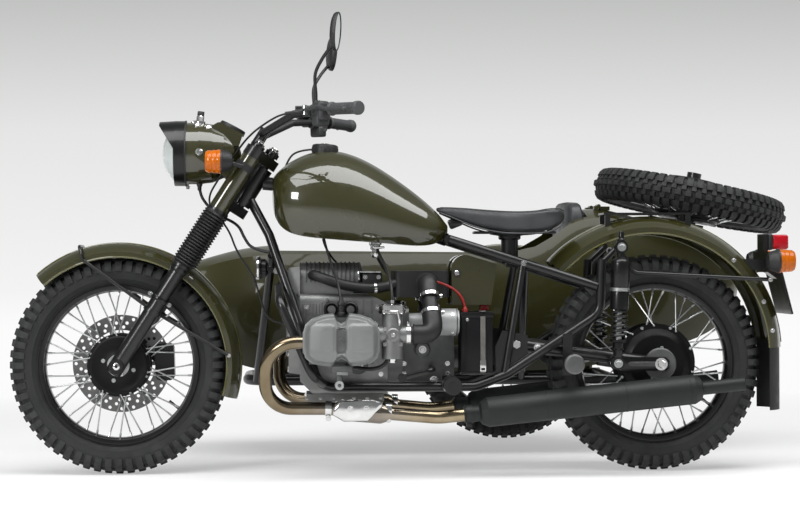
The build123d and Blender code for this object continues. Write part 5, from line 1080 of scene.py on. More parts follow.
def build_hand_controls():
    grips = Form()
    boxes = Form()
    for side in BOTH:
        inner, outer = mirrored(GRIP_IN + Vector((12, 15, -1)), side), mirrored(GRIP_OUT, side)
        run = (outer - inner).normalized()
        long = (outer - inner).length
        place = placed(inner, run)
        profile = [(11.2, 1), (19.5, 1), (20.5, 3), (20.5, 7), (18, 9)]
        for k in range(15):
            z = 12 + (long - 26) * k / 15
            profile += [(16.6, z), (17.4, z + 1.6), (17.4, z + 4.0)]
        profile += [(17, long - 12), (19.4, long - 8), (20.2, long - 3), (20.2, long + 5), (18.5, long + 9),
                    (10, long + 10), (0, long + 10)]
        grips.lathe(profile, place, 32, 0)
        bend = mirrored(BAR_BEND, side)
        bar = (mirrored(GRIP_IN, side) - bend).normalized()
        middle = mirrored(GRIP_IN, side) - bar * 22
        fore = Vector((-0.8, side * 0.5, 0)) - bar * Vector((-0.8, side * 0.5, 0)).dot(bar)
        fore.normalize()
        upright = bar.cross(fore)
        if upright.z < 0:
            upright = -upright
        box = placed(middle, bar, upright)
        boxes.block((58, 44, 40), box @ moved((-4, 0, 0)), 0, 11, 4)
        boxes.block((34, 48, 30), box @ moved((-30, 0, -6)), 0, 7, 3)
        boxes.lathe([(12, -40), (19, -38), (20, -34), (20, -16), (18, -13), (12, -12)], box, 28, 0)
        for dx in (-8, -26):
            boxes.block((9, 10, 8), placed(middle - bar * 2 + upright * dx - fore * 25, -fore, upright), 2, 2)
        boxes.bolt(middle + upright * 27 - bar * 10, upright, 3.4, 1)
        perch = middle - bar * 38
        boxes.block((30, 34, 26), placed(perch + fore * 14, bar, upright), 0, 6, 3)
        pivot = perch + fore * 30 + upright * 2
        boxes.tube([pivot - upright * 14, pivot + upright * 14], 7, 14, 1)
        tip = mirrored(GRIP_OUT, side) + fore * 44 + Vector((0, 0, -6)) - run * 14
        lever = flowing([pivot, pivot + bar * 30 + fore * 6, pivot + bar * 66 + fore * 12,
                         (pivot + tip) / 2 + fore * 12 + bar * 12, tip - run * 26, tip], 5)
        count = len(lever)
        boxes.tube(lever, [7.5 - 2.2 * k / count for k in range(count - 2)] + [5.5, 7.0], 12, 0)
        boxes.ball(lever[-1], 7.6, 0, 14)
        boxes.tube([pivot - bar * 8, pivot - bar * 26, pivot - bar * 44], [7, 6.5, 4.5], 12, 0)
    master = mirrored(GRIP_IN, 1) + Vector((-66, -50, 22))
    boxes.block((46, 46, 30), placed(master, (0, 0.15, 1), (1, 0, 0)), 0, 8, 3)
    boxes.block((50, 50, 7), placed(master + Vector((0, 2, 17)), (0, 0.15, 1), (1, 0, 0)), 0, 3, 2)
    show("grips", grips, "steering", ["grip_rubber"])
    show("levers_and_switches", boxes, "steering", ["control_black", "bright_steel", "grip_rubber"],
         ["hand_controls"])


MIRROR_AT = Vector((640, 296, 1297))


def build_mirrors():
    form = Form()
    for side in BOTH:
        bend = mirrored(BAR_BEND, side)
        grip = mirrored(GRIP_IN, side)
        run = (grip - bend).normalized()
        foot = grip - run * 44 + Vector((0, 0, 27))
        at = mirrored(MIRROR_AT, side)
        knee = Vector((foot.x - 2, side * (abs(foot.y) + 10), foot.z + 78))
        top = Vector((at.x - 8, at.y, at.z - 41))
        form.tube(flowing([foot - Vector((0, 0, 16)), foot + Vector((0, 0, 20)), knee,
                           (knee + top) / 2 + Vector((-3, 0, 4)), top], 7), 5, 12, 0)
        form.lathe([(0, 0), (10, 0), (11, 2), (11, 16), (8, 22), (5.5, 24)],
                   moved(foot - Vector((0, 0, 20))), 20, 0)
        form.ball(top + Vector((2, 0, 2)), 8, 0)
        facing = placed(at, (1, side * 0.25, -0.08), (0, 0, 1))
        for profile, finish in (
            ([(1.0, 8.5), (1.0, 10), (0.97, 11.4), (0.93, 11.4), (0.92, 9.5)], 0),
            ([(0.925, 9.6), (0.5, 9.9), (0.0, 10.0)], 1),
            ([(1.0, 8.5), (0.985, 2), (0.92, -3), (0.76, -7), (0.5, -9.4), (0.2, -10.4), (0, -10.5)], 0),
        ):
            rings = [[(57 * s * cos(2 * pi * j / 48), 40 * s * sin(2 * pi * j / 48), a) for j in range(48)]
                     for s, a in profile]
            form.skin(rings, finish, facing)
    show("oval_mirrors", form, "steering", ["black_plastic", "mirror_glass"],
         ["mirrors"], 40)


# Tank, saddle and side pieces
def build_tank_cap():
    form = Form()
    cap = placed((616, 0, 958), Vector((0.06, 0, 1)))
    form.lathe([(30, 0), (37, 0), (39.5, 3), (39.5, 24), (37.5, 28.5), (31, 31), (16, 31.8), (0, 32)],
               cap, 56, 0)
    for k in range(20):
        turn = 2 * pi * k / 20
        spot = cap @ Vector((39.2 * cos(turn), 39.2 * sin(turn), 14))
        form.block((14, 5, 2.4), placed(spot, cap.to_3x3() @ Vector((cos(turn), sin(turn), 0)),
                                        cap.to_3x3() @ Vector((0, 0, 1))), 0, 0.9, 1)
    form.lathe([(0, 34), (11, 33.8), (13, 32.6), (13, 30)], cap, 32, 1)
    form.block((12, 2.6, 1.2), cap @ moved((0, 0, 34)), 0, 0.4, 1)
    form.lathe([(43, -8), (45, -3), (43, 1), (36, 2)], cap, 56, 2)
    show("filler_cap", form, "chassis", ["black_plastic", "bright_steel", "black_rubber"])


SADDLE_ROWS = [
    # x, half width, middle of the seat, rim height, skirt height
    (953, 14, 797, 797, 788),
    (965, 24, 799, 798, 780),
    (995, 40, 799, 797, 768),
    (1040, 62, 794, 794, 748),
    (1090, 88, 784, 789, 730),
    (1140, 112, 774, 785, 720),
    (1190, 132, 768, 783, 717),
    (1240, 146, 768, 785, 717),
    (1280, 150, 773, 791, 722),
    (1310, 142, 780, 792, 736),
    (1328, 118, 781, 786, 752),
    (1334, 92, 778, 779, 764),
]


def build_saddle():
    form = Form()
    across = [(-1.0, 3), (-0.985, 2), (-1.0, 1.6), (-1.005, 1.2), (-0.985, 0.95), (-0.93, 0.9),
              (-0.87, 0.82), (-0.82, 0.55), (-0.74, 0.46), (-0.6, 0.30), (-0.42, 0.14), (-0.2, 0.04),
              (0.0, 0.0)]
    rows = []
    for x, half, mid, rim, skirt in SADDLE_ROWS:
        left = []
        for f, level in across:
            if level >= 1.0:
                z = rim - 9 - (level - 1.0) / 2.0 * (rim - 9 - skirt)
                y = f * half * (1.0 if level < 2.5 else 0.94)
            else:
                z = mid + (rim - mid) * level
                if 0.8 < level < 1.0:
                    z = rim - (level - 0.8) * 30.0
                y = f * half
            left.append((x, y, z))
        rows.append(left + [(x, -y, z) for x, y, z in reversed(left[:-1])])
    closed = []
    for row in rows:
        x, low = row[0][0], row[0][2]
        under = [(x, y * 0.5, low + 6) for y in (row[-1][1], row[0][1])]
        closed.append(row + under)
    form.skin(closed, 0, caps=True)
    saddle = show("sprung_saddle", form, "chassis", ["leather"], ["saddle"], 80)
    rounded(saddle, 2)
    seam = Form()
    for side in BOTH:
        line = [(x, side * half * 0.86, rim - 0.5) for x, half, _, rim, _ in SADDLE_ROWS[1:-1]]
        seam.tube(flowing(line, 6), 1.6, 8, 0)
        low = [(x, side * half * 0.955, skirt + 1) for x, half, _, _, skirt in SADDLE_ROWS[1:-1]]
        seam.tube(flowing(low, 6), 2.4, 8, 0)
    show("saddle_piping", seam, "chassis", ["leather"])
    base = Form()
    base.lathe([(0, 700), (30, 700), (34, 704), (34, 712), (60, 716), (60, 720), (0, 720)],
               moved((1176, 0, 0)), 32, 0)
    base.block((250, 60, 8), moved((1190, 0, 722)), 0, 3)
    base.block((40, 30, 30), placed((1010, 0, 752), (-0.4, 0, 1), (1, 0, 0)), 0, 6)
    show("saddle_mount", base, "chassis", ["black_steel"])


STRAP_X = 1080


def build_battery():
    form = Form()
    middle = Vector((1063, -91, 0))
    form.block((94, 122, 164), moved(middle + Vector((0, 0, 388))), 0, 4, 2)
    form.block((99, 126, 18), moved(middle + Vector((0, 0, 476))), 0, 4, 2)
    form.block((99, 126, 9), moved(middle + Vector((0, 0, 304))), 1, 2)
    for x in (1030, 1096):
        form.block((3, 2, 150), moved((x, -152.6, 388)), 0, 0.8)
    form.block((15, 2.4, 168), moved((STRAP_X, -154.2, 388)), 2, 0.8)
    form.block((15, 132, 2.4), moved((STRAP_X, -91, 486.4)), 2, 0.8)
    form.block((18, 4, 34), moved((STRAP_X, -156, 326)), 3, 1.5)
    form.block((12, 5, 8), moved((STRAP_X, -157, 316)), 1, 1.5)
    form.lathe([(0, 2), (4, 2), (6, 0)], placed((1034, -152, 462), (0, -1, 0)), 16, 3)
    for x in (1035, 1092):
        form.lathe([(0, 15), (7, 15), (8, 13), (8, 0)], moved((x, -60, 484)), 20, 3)
    form.block((26, 24, 18), moved((1092, -64, 497)), 4, 4, 2)
    show("strapped_battery", form, "chassis",
         ["battery_case", "black_steel", "strap", "bright_steel", "red_cable"], ["battery"])


def build_frame_bolts():
    bolts = Form()
    for side in BOTH:
        knob = placed((1007, side * 98, 600), (0, side, 0))
        bolts.lathe([(0, 5), (6, 5), (8, 3.5), (8, 0)], knob, 24, 1)
        bolts.lathe([(9, 0), (12, 0), (12, 1.6), (9, 1.6)], knob, 24, 0)
        bolts.bolt((1204, side * 136, 629), (0, side, 0), 6, 1)
        bolts.bolt((1182, side * 130, 387), (0, side, 0), 14, 1)
        bolts.bolt((1246, side * 124, 378), (0, side, 0), 8, 1)
    show("frame_bolts", bolts, "chassis", ["black_rubber", "bright_steel"])


# Engine and exhaust
def rocker_outline(count):
    """Evenly spaced points along the edge of a rocker cover."""
    corner = [(-110, 22), (-104, 44), (-84, 62), (-52, 73), (-24, 76), (-18, 66), (-12, 54), (0, 48),
              (12, 54), (18, 66), (24, 76), (52, 73), (84, 62), (104, 44), (110, 22), (110, -28),
              (104, -52), (84, -68), (50, -74), (26, -76), (16, -62), (0, -54), (-16, -62), (-26, -76),
              (-50, -74), (-84, -68), (-104, -52), (-110, -28)]
    points = []
    loop = corner + [corner[0]]
    spans = [hypot(b[0] - a[0], b[1] - a[1]) for a, b in zip(loop, loop[1:])]
    total = sum(spans)
    for k in range(count):
        goal = total * k / count
        for (a, b), span in zip(zip(loop, loop[1:]), spans):
            if goal <= span:
                t = goal / span
                points.append((a[0] + (b[0] - a[0]) * t, a[1] + (b[1] - a[1]) * t))
                break
            goal -= span
    return points


def box_distance(u, v, cu, cv, half_u, half_v, corner):
    """Distance outside a rounded rectangle; negative inside it."""
    du, dv = abs(u - cu) - half_u + corner, abs(v - cv) - half_v + corner
    return hypot(max(du, 0), max(dv, 0)) + min(max(du, dv), 0) - corner


def build_rocker_covers():
    outline = rocker_outline(168)
    steps = 40
    form = Form()
    for side in BOTH:
        place = placed((CYLINDER_X[side], side * HEAD_OUT, CRANK_Z), (0, side, 0), (1, 0, 0))
        flip = upward(place)
        rings = [[(u, flip * v, 0.4) for u, v in outline], [(u, flip * v, 9) for u, v in outline]]
        rings.append([(u * 0.985, flip * v * 0.985, 10.5) for u, v in outline])
        rings.append([(u * 0.955, flip * v * 0.955, 10.5) for u, v in outline])
        for k in range(steps):
            s = 0.95 * (1 - k / steps)
            ring = []
            for u0, v0 in outline:
                u, v = u0 * s, v0 * s
                edge = (0.95 - s) * hypot(u0, v0)
                rise = 10.5 + 22.0 * soft_step(0, 12, edge) + 6.0 * soft_step(6, 46, edge)
                for centre in (-57, 57):
                    rise += 5.0 * soft_step(4, -3, box_distance(u, v, centre, 6, 34, 38, 9))
                rise -= 7.0 * soft_step(3, -3, box_distance(u, v, 0, -2, 15, 36, 10))
                ring.append((u, flip * v, rise))
            rings.append(ring)
        form.skin(rings, 0, place)
        middle = place @ Vector((0, 0, 31.5))
        form.add(*fan(rings[-1], 31.0), 0, place)
        form.lathe([(0, 4), (3.4, 4), (3.6, 6.4), (7, 6.4), (8, 5), (8, 1.2), (11, 1), (11, -3)],
                   placed(middle, (0, side, 0)), 28, 3)
        lug = CRANK_Z - 92
        form.block((60, 30, 20), moved((CYLINDER_X[side] + 2, side * (HEAD_OUT + 4), lug + 8)), 3, 4, 2)
        form.block((34, 32, 9), moved((CYLINDER_X[side] + 2, side * (HEAD_OUT + 5), lug - 4)), 0, 3, 2)
        form.block((16, 22, 40), moved((CYLINDER_X[side] - 6, side * (HEAD_OUT + 5), lug - 22)), 3, 4, 2)
        form.lathe([(5, 4), (6, 6), (11, 6), (13, 4), (13, -22), (5, -22)],
                   placed((CYLINDER_X[side] - 6, side * (HEAD_OUT + 16), lug - 38), (0, side, 0)), 28, 1,
                   closed=True)
        form.bolt((CYLINDER_X[side] - 6, side * (HEAD_OUT + 16), lug - 38), (0, side, 0), 5, 3)
        for dx in (-27, 27):
            cup = placed((CYLINDER_X[side] + dx, side * 250, CRANK_Z + 86), (0, side, 0))
            form.lathe([(11.2, -10), (21, -8), (23.5, -2), (24, 4), (22.5, 10), (19, 12.5), (15, 10),
                        (13, 4)], cup, 32, 2)
            form.lathe([(13.2, -6), (13.2, 5), (12, 8), (9, 9), (7, 7), (0, 7)], cup, 28, 3)
        pocket = [(13 * u, flip * (31 * v - 2))
                  for u, v in [(-0.6, -1), (0.6, -1), (1, -0.84), (1, 0.84), (0.6, 1), (-0.6, 1),
                               (-1, 0.84), (-1, -0.84)]]
        form.plate(pocket, 1.4, place @ moved((0, 0, 31.2)), 3, 0.5)
    show("alloy_rocker_covers", form, "chassis",
         ["cover_alloy", "starter_steel", "black_rubber", "dark_alloy"],
         ["rocker_covers"], 45)


def fan(ring, height):
    """Closing disc for a small ring, with its middle point."""
    count = len(ring)
    middle = (sum(p[0] for p in ring) / count, sum(p[1] for p in ring) / count, height)
    return ring + [middle], [[j, (j + 1) % count, count] for j in range(count)]


def build_engine_bolts():
    form = Form()
    for y, z in ((-82, 312), (82, 312), (-86, 360), (86, 360), (-80, 420), (80, 420), (-68, 500), (68, 500),
                 (-56, 580), (56, 580), (0, 604)):
        form.bolt((507, y, z), (-1, 0, 0), 5, 1)
    form.lathe([(0, 10), (44, 10), (52, 6), (54, 0), (54, -4)], placed((508, 0, 400), (-1, 0, 0)), 40, 0)
    form.lathe([(0, 14), (30, 14), (34, 9), (34, 0)], placed((508, 0, 570), (-1, 0, 0)), 36, 0)
    for k in range(7):
        form.block((5, 186, 5), moved((514 + 9 * k, 0, 545 - 4 * k)), 0, 1.2, 1)
    for x in (560, 600, 640, 700, 740, 780):
        for side in BOTH:
            form.bolt((x, side * 88, 228), (0, side, 0.2), 4, 1)
    form.lathe([(0, 9), (26, 9), (30, 5), (30, 0)], placed((712, -105, 330), (0, -1, 0)), 32, 0)
    form.bolt((712, -114, 330), (0, -1, 0), 11, 1)
    for x, z in ((560, 320), (560, 500), (620, 520), (770, 500), (780, 300), (690, 270)):
        for side in BOTH:
            form.bolt((x, side * 105, z), (0, side, 0), 5, 1)
    for side in BOTH:
        x = CYLINDER_X[side]
        form.band(56, 86, 0, 10, placed((x, side * 105.5, CRANK_Z), (0, side, 0)), 48, 0)
        for k in range(4):
            turn = pi / 4 + k * pi / 2
            form.bolt((x + 78 * cos(turn), side * 115.5, CRANK_Z + 78 * sin(turn)), (0, side, 0), 5, 1)
        plug = moved((x, side * PLUG_OUT, CRANK_Z + 70))
        form.lathe([(0, 0), (13, 0), (13, 6), (9.5, 9), (9.5, 28), (11, 30), (11, 36), (7, 42), (4.2, 54),
                    (3.0, 54)], plug, 24, 2)
    hose = cord_line([(582, -44, 592), (572, -86, 598), (604, -110, 588), (656, -114, 568),
                      (726, -113, 555), (790, -104, 557), (832, -92, 571)], 10)
    form.tube(hose, 15.5, 20, 2)
    clip = placed(hose[-12], hose[-11] - hose[-12])
    form.band(15.6, 17.4, -4, 4, clip, 32, 1)
    for z, y in ((300, -85), (330, -85), (420, -85), (452, -60)):
        form.bolt((850, y, z), (0, -1, 0), 5, 1)
        form.bolt((980, y, z), (0, -1, 0), 5, 1)
    form.lathe([(0, 8), (20, 8), (24, 4), (24, 0)], placed((905, -85, 372), (0, -1, 0)), 28, 0)
    form.bolt((905, -93, 372), (0, -1, 0), 8, 1)
    form.bolt((940, -85, 280), (0, -1, 0), 9, 1)
    show("engine_bolts", form, "chassis", ["dark_alloy", "bright_steel", "black_rubber"])


def build_engine_ribs():
    cast = Form()
    for side in BOTH:
        for k in range(6):
            cast.block((3.6, 3, 74), moved((549 + 9.5 * k, side * 105.5, 474)), 0, 1, 1)
        cast.block((4, 5, 150), moved((604, side * 105.5, 440)), 0, 1.5, 1)
        for k in range(5):
            cast.block((4, 3, 40), moved((650 + 26 * k, side * 105.5, 500)), 0, 1, 1)
    for k in range(12):
        cast.lathe([(49.5, -2.6), (53, -2), (53, 2), (49.5, 2.6)],
                   placed((560 + 13 * k, 0, 582), (1, 0, 0)), 48, 1, closed=True)
    cast.lathe([(0, 8), (34, 8), (46, 4), (51, 0), (51, -6)], placed((720, 0, 582), (1, 0, 0)), 48, 1)
    cast.block((62, 88, 62), moved((756, -10, 571)), 2, 6, 3)
    cast.block((70, 20, 5), moved((748, -50, 604)), 3, 1.5)
    cast.block((5, 20, 34), moved((716, -56, 588)), 3, 1.5)
    for x in (736, 776):
        cast.bolt((x, -54.5, 588), (0, -1, 0), 4.5, 3)
    for x, tilt in ((918, 36), (918, -50), (990, 36), (990, -50)):
        out = Vector((0, -cos(radians(tilt)), sin(radians(tilt))))
        cast.bolt(Vector((x, -130, 455)) + out * 39.6, out, 3.6, 3)
    for x in (906, 1003):
        cast.lathe([(39.6, -2), (41, -1.6), (41, 1.6), (39.6, 2)], placed((x, -130, 455), (1, 0, 0)), 48, 1,
                   closed=True)
    show("engine_ribs", cast, "chassis", ["cast_alloy", "dark_alloy", "black_plastic", "bright_steel"])


def build_intakes():
    intake = Form()
    for side in BOTH:
        end = CARB_X + 50.3 + stagger(side)
        line = bent([(915, side * 100, 572), (915, side * 190, 572), (end + 70, side * PORT_OUT, CARB_Z),
                     (end, side * PORT_OUT, CARB_Z)], 30)
        upper = [line[0].lerp(line[1], 0.3), *line[1:8], line[7].lerp(line[8], 0.30)]
        lower = [line[7].lerp(line[8], 0.62), *line[8:15], line[14].lerp(line[15], 0.75)]
        for sleeve in (upper, lower):
            intake.tube(sleeve, 28.5, 32, 0)
            for spot, nxt in ((sleeve[0], sleeve[1]), (sleeve[-1], sleeve[-2])):
                intake.lathe([(28.2, 0), (30.4, 0.5), (30.4, 3.5), (28.2, 4)],
                             placed(spot, nxt - spot), 36, 0)
        for share in (0.24, 0.69):
            spot = line[7].lerp(line[8], share)
            band = placed(spot, line[8] - line[7], (1, 0, 0))
            intake.band(28.6, 31, -5, 5, band, 40, 1)
            intake.block((10, 12, 8), band @ moved((33, 0, 0)), 1, 2)
        tap = moved((768, side * 60, 646))
        intake.lathe([(5, 0), (9, 0), (11, 3), (11, 15), (8, 17), (8, 25), (13, 27), (13, 38), (17, 40),
                      (17, 49), (5, 49)], tap, 28, 1)
        intake.block((34, 9, 7), tap @ moved((8, side * 15, 31)), 1, 2)
        intake.bolt(tap @ Vector((0, side * 12.5, 31)), (0, side, 0), 5, 1)
    show("intake_sleeves", intake, "chassis", ["black_rubber", "bright_steel"])


def build_carburettors():
    carb = Form()
    for side in BOTH:
        x = CARB_X + stagger(side)
        y = side * PORT_OUT
        up = moved((x, y, CARB_Z))
        carb.lathe([(38.5, 60), (40.5, 62), (40.5, 68), (38.5, 70), (38.5, 84.5), (30, 87), (16, 88),
                    (0, 88)], up, 36, 1)
        for k in range(4):
            turn = pi / 4 + k * pi / 2
            carb.bolt((x + 34 * cos(turn), y + 34 * sin(turn), 508), (0, 0, 1), 3, 1)
        carb.block((58, 52, 12), up @ moved((0, 0, -28)), 0, 3, 2)
        carb.lathe([(0, -82), (9, -82), (11, -78), (11, -70)], up, 20, 1)
        carb.block((46, 40, 26), up @ moved((0, 0, -54)), 0, 8, 3)
        carb.lathe([(0, 20), (16, 20), (20, 17), (20, 0)],
                   placed((x, y + side * 22, CARB_Z), (0, side, 0)), 28, 0)
        carb.bolt((x, y + side * 42, CARB_Z), (0, side, 0), 5, 1)
        carb.bolt((x - 22, y + side * 24, 440), (0, side, 0), 4, 1)
        carb.tube([(x + 18, y + side * 26, 452), (x + 18, y + side * 40, 470),
                   (x + 14, y + side * 38, 492)], 3, 10, 1)
        for dx in (-46, 46):
            carb.band(25.2, 28, -6, 6, placed((x + dx, y, CARB_Z), (1, 0, 0)), 36, 1)
            carb.block((8, 12, 12), moved((x + dx, y, 455)), 1, 2)
        drain = cord_line([(x - 10, side * 280, 372), (x - 12, side * 284, 352), (x - 30, side * 284, 330),
                           (x - 66, side * 262, 322), (x - 104, side * 220, 326),
                           (x - 130, side * 170, 334)], 10)
        carb.tube(drain, 6, 12, 2)
    show("carburettor_fittings", carb, "chassis", ["cast_alloy", "bright_steel", "black_rubber"])


def build_exhaust_trim():
    form = Form()
    for side in BOTH:
        shift = stagger(side)
        for x, z in ((622 + shift, 205), (798 + shift, 199)):
            ring = placed((x, side * PIPE_OUT, z), (1, 0, -0.04))
            form.band(19.4, 22.5, -9, 9, ring, 36, 0)
            form.block((14, 16, 20), moved((x, side * 192, z - 26)), 0, 3, 2)
            form.bolt((x, side * 202, z - 28), (0, side, 0), 6, 0)
        shield = placed((706 + shift, side * 212, 202), (0, side, 0), (1, 0, 0))
        flip = upward(shield)
        outline = [(-72, 4), (-46, 30), (44, 31), (74, 22), (72, 8), (30, -33), (-40, -33), (-72, -14)]
        form.plate([(u, flip * v) for u, v in outline], 12, shield, 0, 8, 3)
        for u in (-20, 26):
            form.bolt(shield @ Vector((u, flip * 4, 12)), (0, side, 0), 6, 0)
        port = Vector((CYLINDER_X[side] - 108, side * PORT_OUT, CRANK_Z - 8))
        form.lathe([(19.4, -14), (31, -14), (33, -11), (33, 0), (31, 3), (19.4, 3)],
                   placed(port, (-1, 0, 0)), 40, 1, closed=True)
        for k in range(10):
            turn = 2 * pi * k / 10
            form.block((5, 6, 12), placed(port + Vector((6, 33 * cos(turn), 33 * sin(turn))), (1, 0, 0),
                                          (0, cos(turn), sin(turn))), 1, 1, 1)
        front, rear = Vector((1065, side * PIPE_OUT, 189)), Vector((1727, side * PIPE_OUT, 258))
        along = (rear - front).normalized()
        length = (rear - front).length
        for s, r in ((0.30, 44.6), (0.655, 44.8), (0.94, 44.6)):
            form.lathe([(44, -1.4), (r, -1), (r, 1), (44, 1.4)], placed(front + along * length * s, along),
                       48, 2, closed=True)
        form.band(24.2, 27.5, -40, -20, placed(front, along), 36, 2)
        form.block((16, 22, 14), moved(front - along * 30 + Vector((0, 0, -30))), 2, 3, 2)
        form.lathe([(17, -1), (20.4, -1), (20.8, 3), (20.4, 4), (17, 4)], placed(rear + along * 122, along),
                   32, 2, closed=True)
    show("exhaust_clamps", form, "chassis", ["bright_steel", "cast_alloy", "silencer_black"],
         (), 40)


# Cables and hoses, along the same routes as their solids
CLUTCH_ROUTE = [
    (542.7, -252.5, 1069.0), (494.9, -258.8, 1064.9), (446, -196, 1044), (392, -138, 1008), (352, -72, 962),
    fork(-48, -58, 640), fork(-46, -52, 556), fork(12, -50, 532), (330, -52, 728), (352, -52, 664),
    (404, -52, 590), (420, -52, 530), (446, -48, 450), (505.7, -48, 450),
]
LOOM_ROUTE = [
    (240, -20, 869.0), (240, -20, 843.0), fork(-42, -22, 545), fork(8, -22, 536), fork(74, -30, 546),
    (374, -38, 706), (398, -40, 672), (450.6, -53.8, 663),
]


def bending(name, form, finishes):
    """Shows a cord fixed in the frame's metres, in place of the packed control cables."""
    piece = dressed(name, form.mesh(name, 50), finishes)
    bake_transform(piece)
    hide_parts("control_cables")


def build_cables():
    clutch = Form()
    line = cord_line(CLUTCH_ROUTE, 12)
    clutch.tube(line, 3.0, 10, 0)
    away = (line[2] - line[0]).normalized()
    clutch.lathe([(3, -6), (7, -6), (7.5, -4), (7.5, 6), (6, 8), (6, 22), (4.6, 26), (4.0, 44), (3, 46)],
                 placed(line[0], away), 18, 1)
    bending("clutch_cable", clutch, ["black_rubber", "black_plastic"])
    loom = Form()
    line = cord_line(LOOM_ROUTE, 12)
    loom.tube(line, 4.5, 12, 0)
    loom.lathe([(4.5, -2), (9, -2), (9, 4), (6.5, 8), (6, 18), (4.5, 20)], placed(line[0], (0, 0, -1)), 20, 1)
    bending("headlamp_loom", loom, ["black_rubber", "black_plastic"])


def build_hoses():
    form = Form()
    for side in BOTH:
        shift = stagger(side)
        fuel = cord_line([(CARB_X + shift, side * PORT_OUT, 508.3),
                          (CARB_X + shift, side * PORT_OUT, 564.3), (790, side * 150, 628),
                          (772, side * 70, 664), (768, side * 60, 690)], 12)
        form.tube(fuel, 4.5, 12, 0)
        form.band(4.4, 6.4, 0, 9, moved((CARB_X + shift, side * PORT_OUT, 514)), 20, 2)
        x = CYLINDER_X[side]
        lead = cord_line([(x, side * PLUG_OUT, 481.3), (x, side * PLUG_OUT, 541.3),
                          (x - 20, side * 190, 610), (620, side * 92, 668), (612, side * 80, 704)], 12)
        form.tube(lead, 3.6, 12, 0)
    breather = cord_line([(581.7, 0, 974), (541.7, 0, 972), (505.7, 0, 950), (492, 0, 904)], 12)
    form.tube(breather, 3.0, 10, 0)
    power = cord_line([(1030, -120, 484.3), (1030, -120, 518.3), (990, -116.9, 562), (940, -115.9, 576)], 12)
    form.tube(power, 3.6, 12, 1)
    form.lathe([(0, 0), (8, 0), (8, 8), (5, 12), (3.6, 16)], moved((1030, -120, 485)), 20, 1)
    show("hoses_and_leads", form, "chassis", ["black_rubber", "red_cable", "bright_steel"],
         ["engine_hoses"], 50)


def build_horn():
    form = Form()
    face = placed((412, -38, 616), (-1, 0, 0), (0, 0, 1))
    form.lathe([(0, 3), (8, 3), (11, 0.5), (14, -3.5)], face, 32, 0)
    for r in (19, 24):
        form.lathe([(r - 1.2, -4.2), (r, -2.6), (r + 1.2, -4.2)], face, 40, 0)
    form.lathe([(27, 0), (29, 2), (33, 2), (35.6, 0), (35.6, -5), (35, -5)], face, 44, 1)
    for k in range(6):
        turn = pi * k / 3
        form.bolt(face @ Vector((31 * cos(turn), 31 * sin(turn), 1.6)), (-1, 0, 0), 2.2, 1)
    form.bolt((470, -70.2, 607), (0, -1, 0), 6, 1)
    form.bolt((446, -38, 616), (1, 0, 0), 7, 1)
    show("horn_grille", form, "chassis", ["gloss_black", "bright_steel"])


# Rear end
def build_shocks():
    form = Form()
    for side in BOTH:
        top, low = Vector((1486, side * 190, 676)), Vector((1475, side * 190, 333))
        up = (top - low).normalized()
        length = (top - low).length
        place = placed(low, up)
        for eye in (low, top):
            form.band(8.4, 19, -14, 14, placed(eye, (0, 1, 0)), 32, 0)
        form.lathe([(12, 14), (14, 20), (14, 40), (17, 44), (17, 60), (26, 64), (26, 70), (10, 72)],
                   place, 36, 0)
        form.lathe([(10, 66), (10, 170)], place, 24, 2)
        coil = []
        turns, steps = 6, 20
        for k in range(turns * steps + 1):
            t = k / (turns * steps)
            turn = 2 * pi * turns * t
            coil.append(place @ Vector((21.5 * cos(turn), 21.5 * sin(turn), 73 + 84 * t)))
        form.tube(coil, 4.2, 10, 1)
        form.lathe([(12, 158), (25, 158), (27.5, 160), (27.5, 210), (27.0, 212)], place, 40, 0)
        form.lathe([(27.0, 212), (28.6, 213), (28.6, 222), (27.0, 223)], place, 40, 2)
        form.lathe([(27.0, 223), (28, 225), (28.4, length - 52), (27, length - 42), (22, length - 36),
                    (12, length - 30), (12, length - 16)], place, 40, 0)
        for eye in (top, low):
            form.bolt(eye + Vector((0, side * 15, 0)), (0, side, 0), 9, 2)
        form.lathe([(0, 46), (6, 46), (8, 42), (8, 26), (12, 22), (12, 14)], placed(top, up), 24, 0)
    show("sprung_shocks", form, "chassis", ["gloss_black", "black_steel", "spoke_steel"],
         ["shock_absorbers"])


def build_axle_fittings():
    hub = Form()
    arm = placed((WHEELBASE - 10, -127, TYRE_R), (0, -1, 0), (1, 0, 0))
    flip = upward(arm)
    bar = [(-150, 4), (-140, 20), (-100, 22), (26, 20), (36, 10), (36, -10), (26, -20), (-90, -20),
           (-136, -14)]
    hub.plate([(u, flip * v) for u, v in bar], 10, arm, 0, 3, 2)
    hub.plate([(u, flip * v) for u, v in [(-84, 7), (2, 7), (8, 0), (2, -7), (-84, -7), (-90, 0)]], 3,
              arm @ moved((0, 0, 9)), 2, 1, 1)
    hub.bolt((WHEELBASE, -140, TYRE_R), (0, -1, 0), 13, 1)
    hub.lathe([(0, -2), (44, -2), (48, 2), (48, 8), (0, 8)],
              placed((WHEELBASE, -128, TYRE_R), (0, 1, 0)), 40, 2)
    hub.bolt((WHEELBASE - 146, -140, TYRE_R + 4), (0, -1, 0), 8, 1)
    for side in BOTH:
        hub.lathe([(0, 22), (24, 22), (29, 18), (29, 0)],
                  placed((1331, side * 298, 337), (0, side, 0)), 32, 2)
    show("axle_fittings", hub, "chassis", ["gloss_black", "bright_steel", "dark_alloy"])


# Fenders and sidecar seat
def arc_line(centre, radius, first, last, y):
    """Points of an arc about an axle, between two angles in degrees."""
    turns = [radians(first + (last - first) * k / ARC_STEPS) for k in range(ARC_STEPS + 1)]
    return [Vector((centre[0] + radius * cos(a), y, centre[1] + radius * sin(a))) for a in turns]


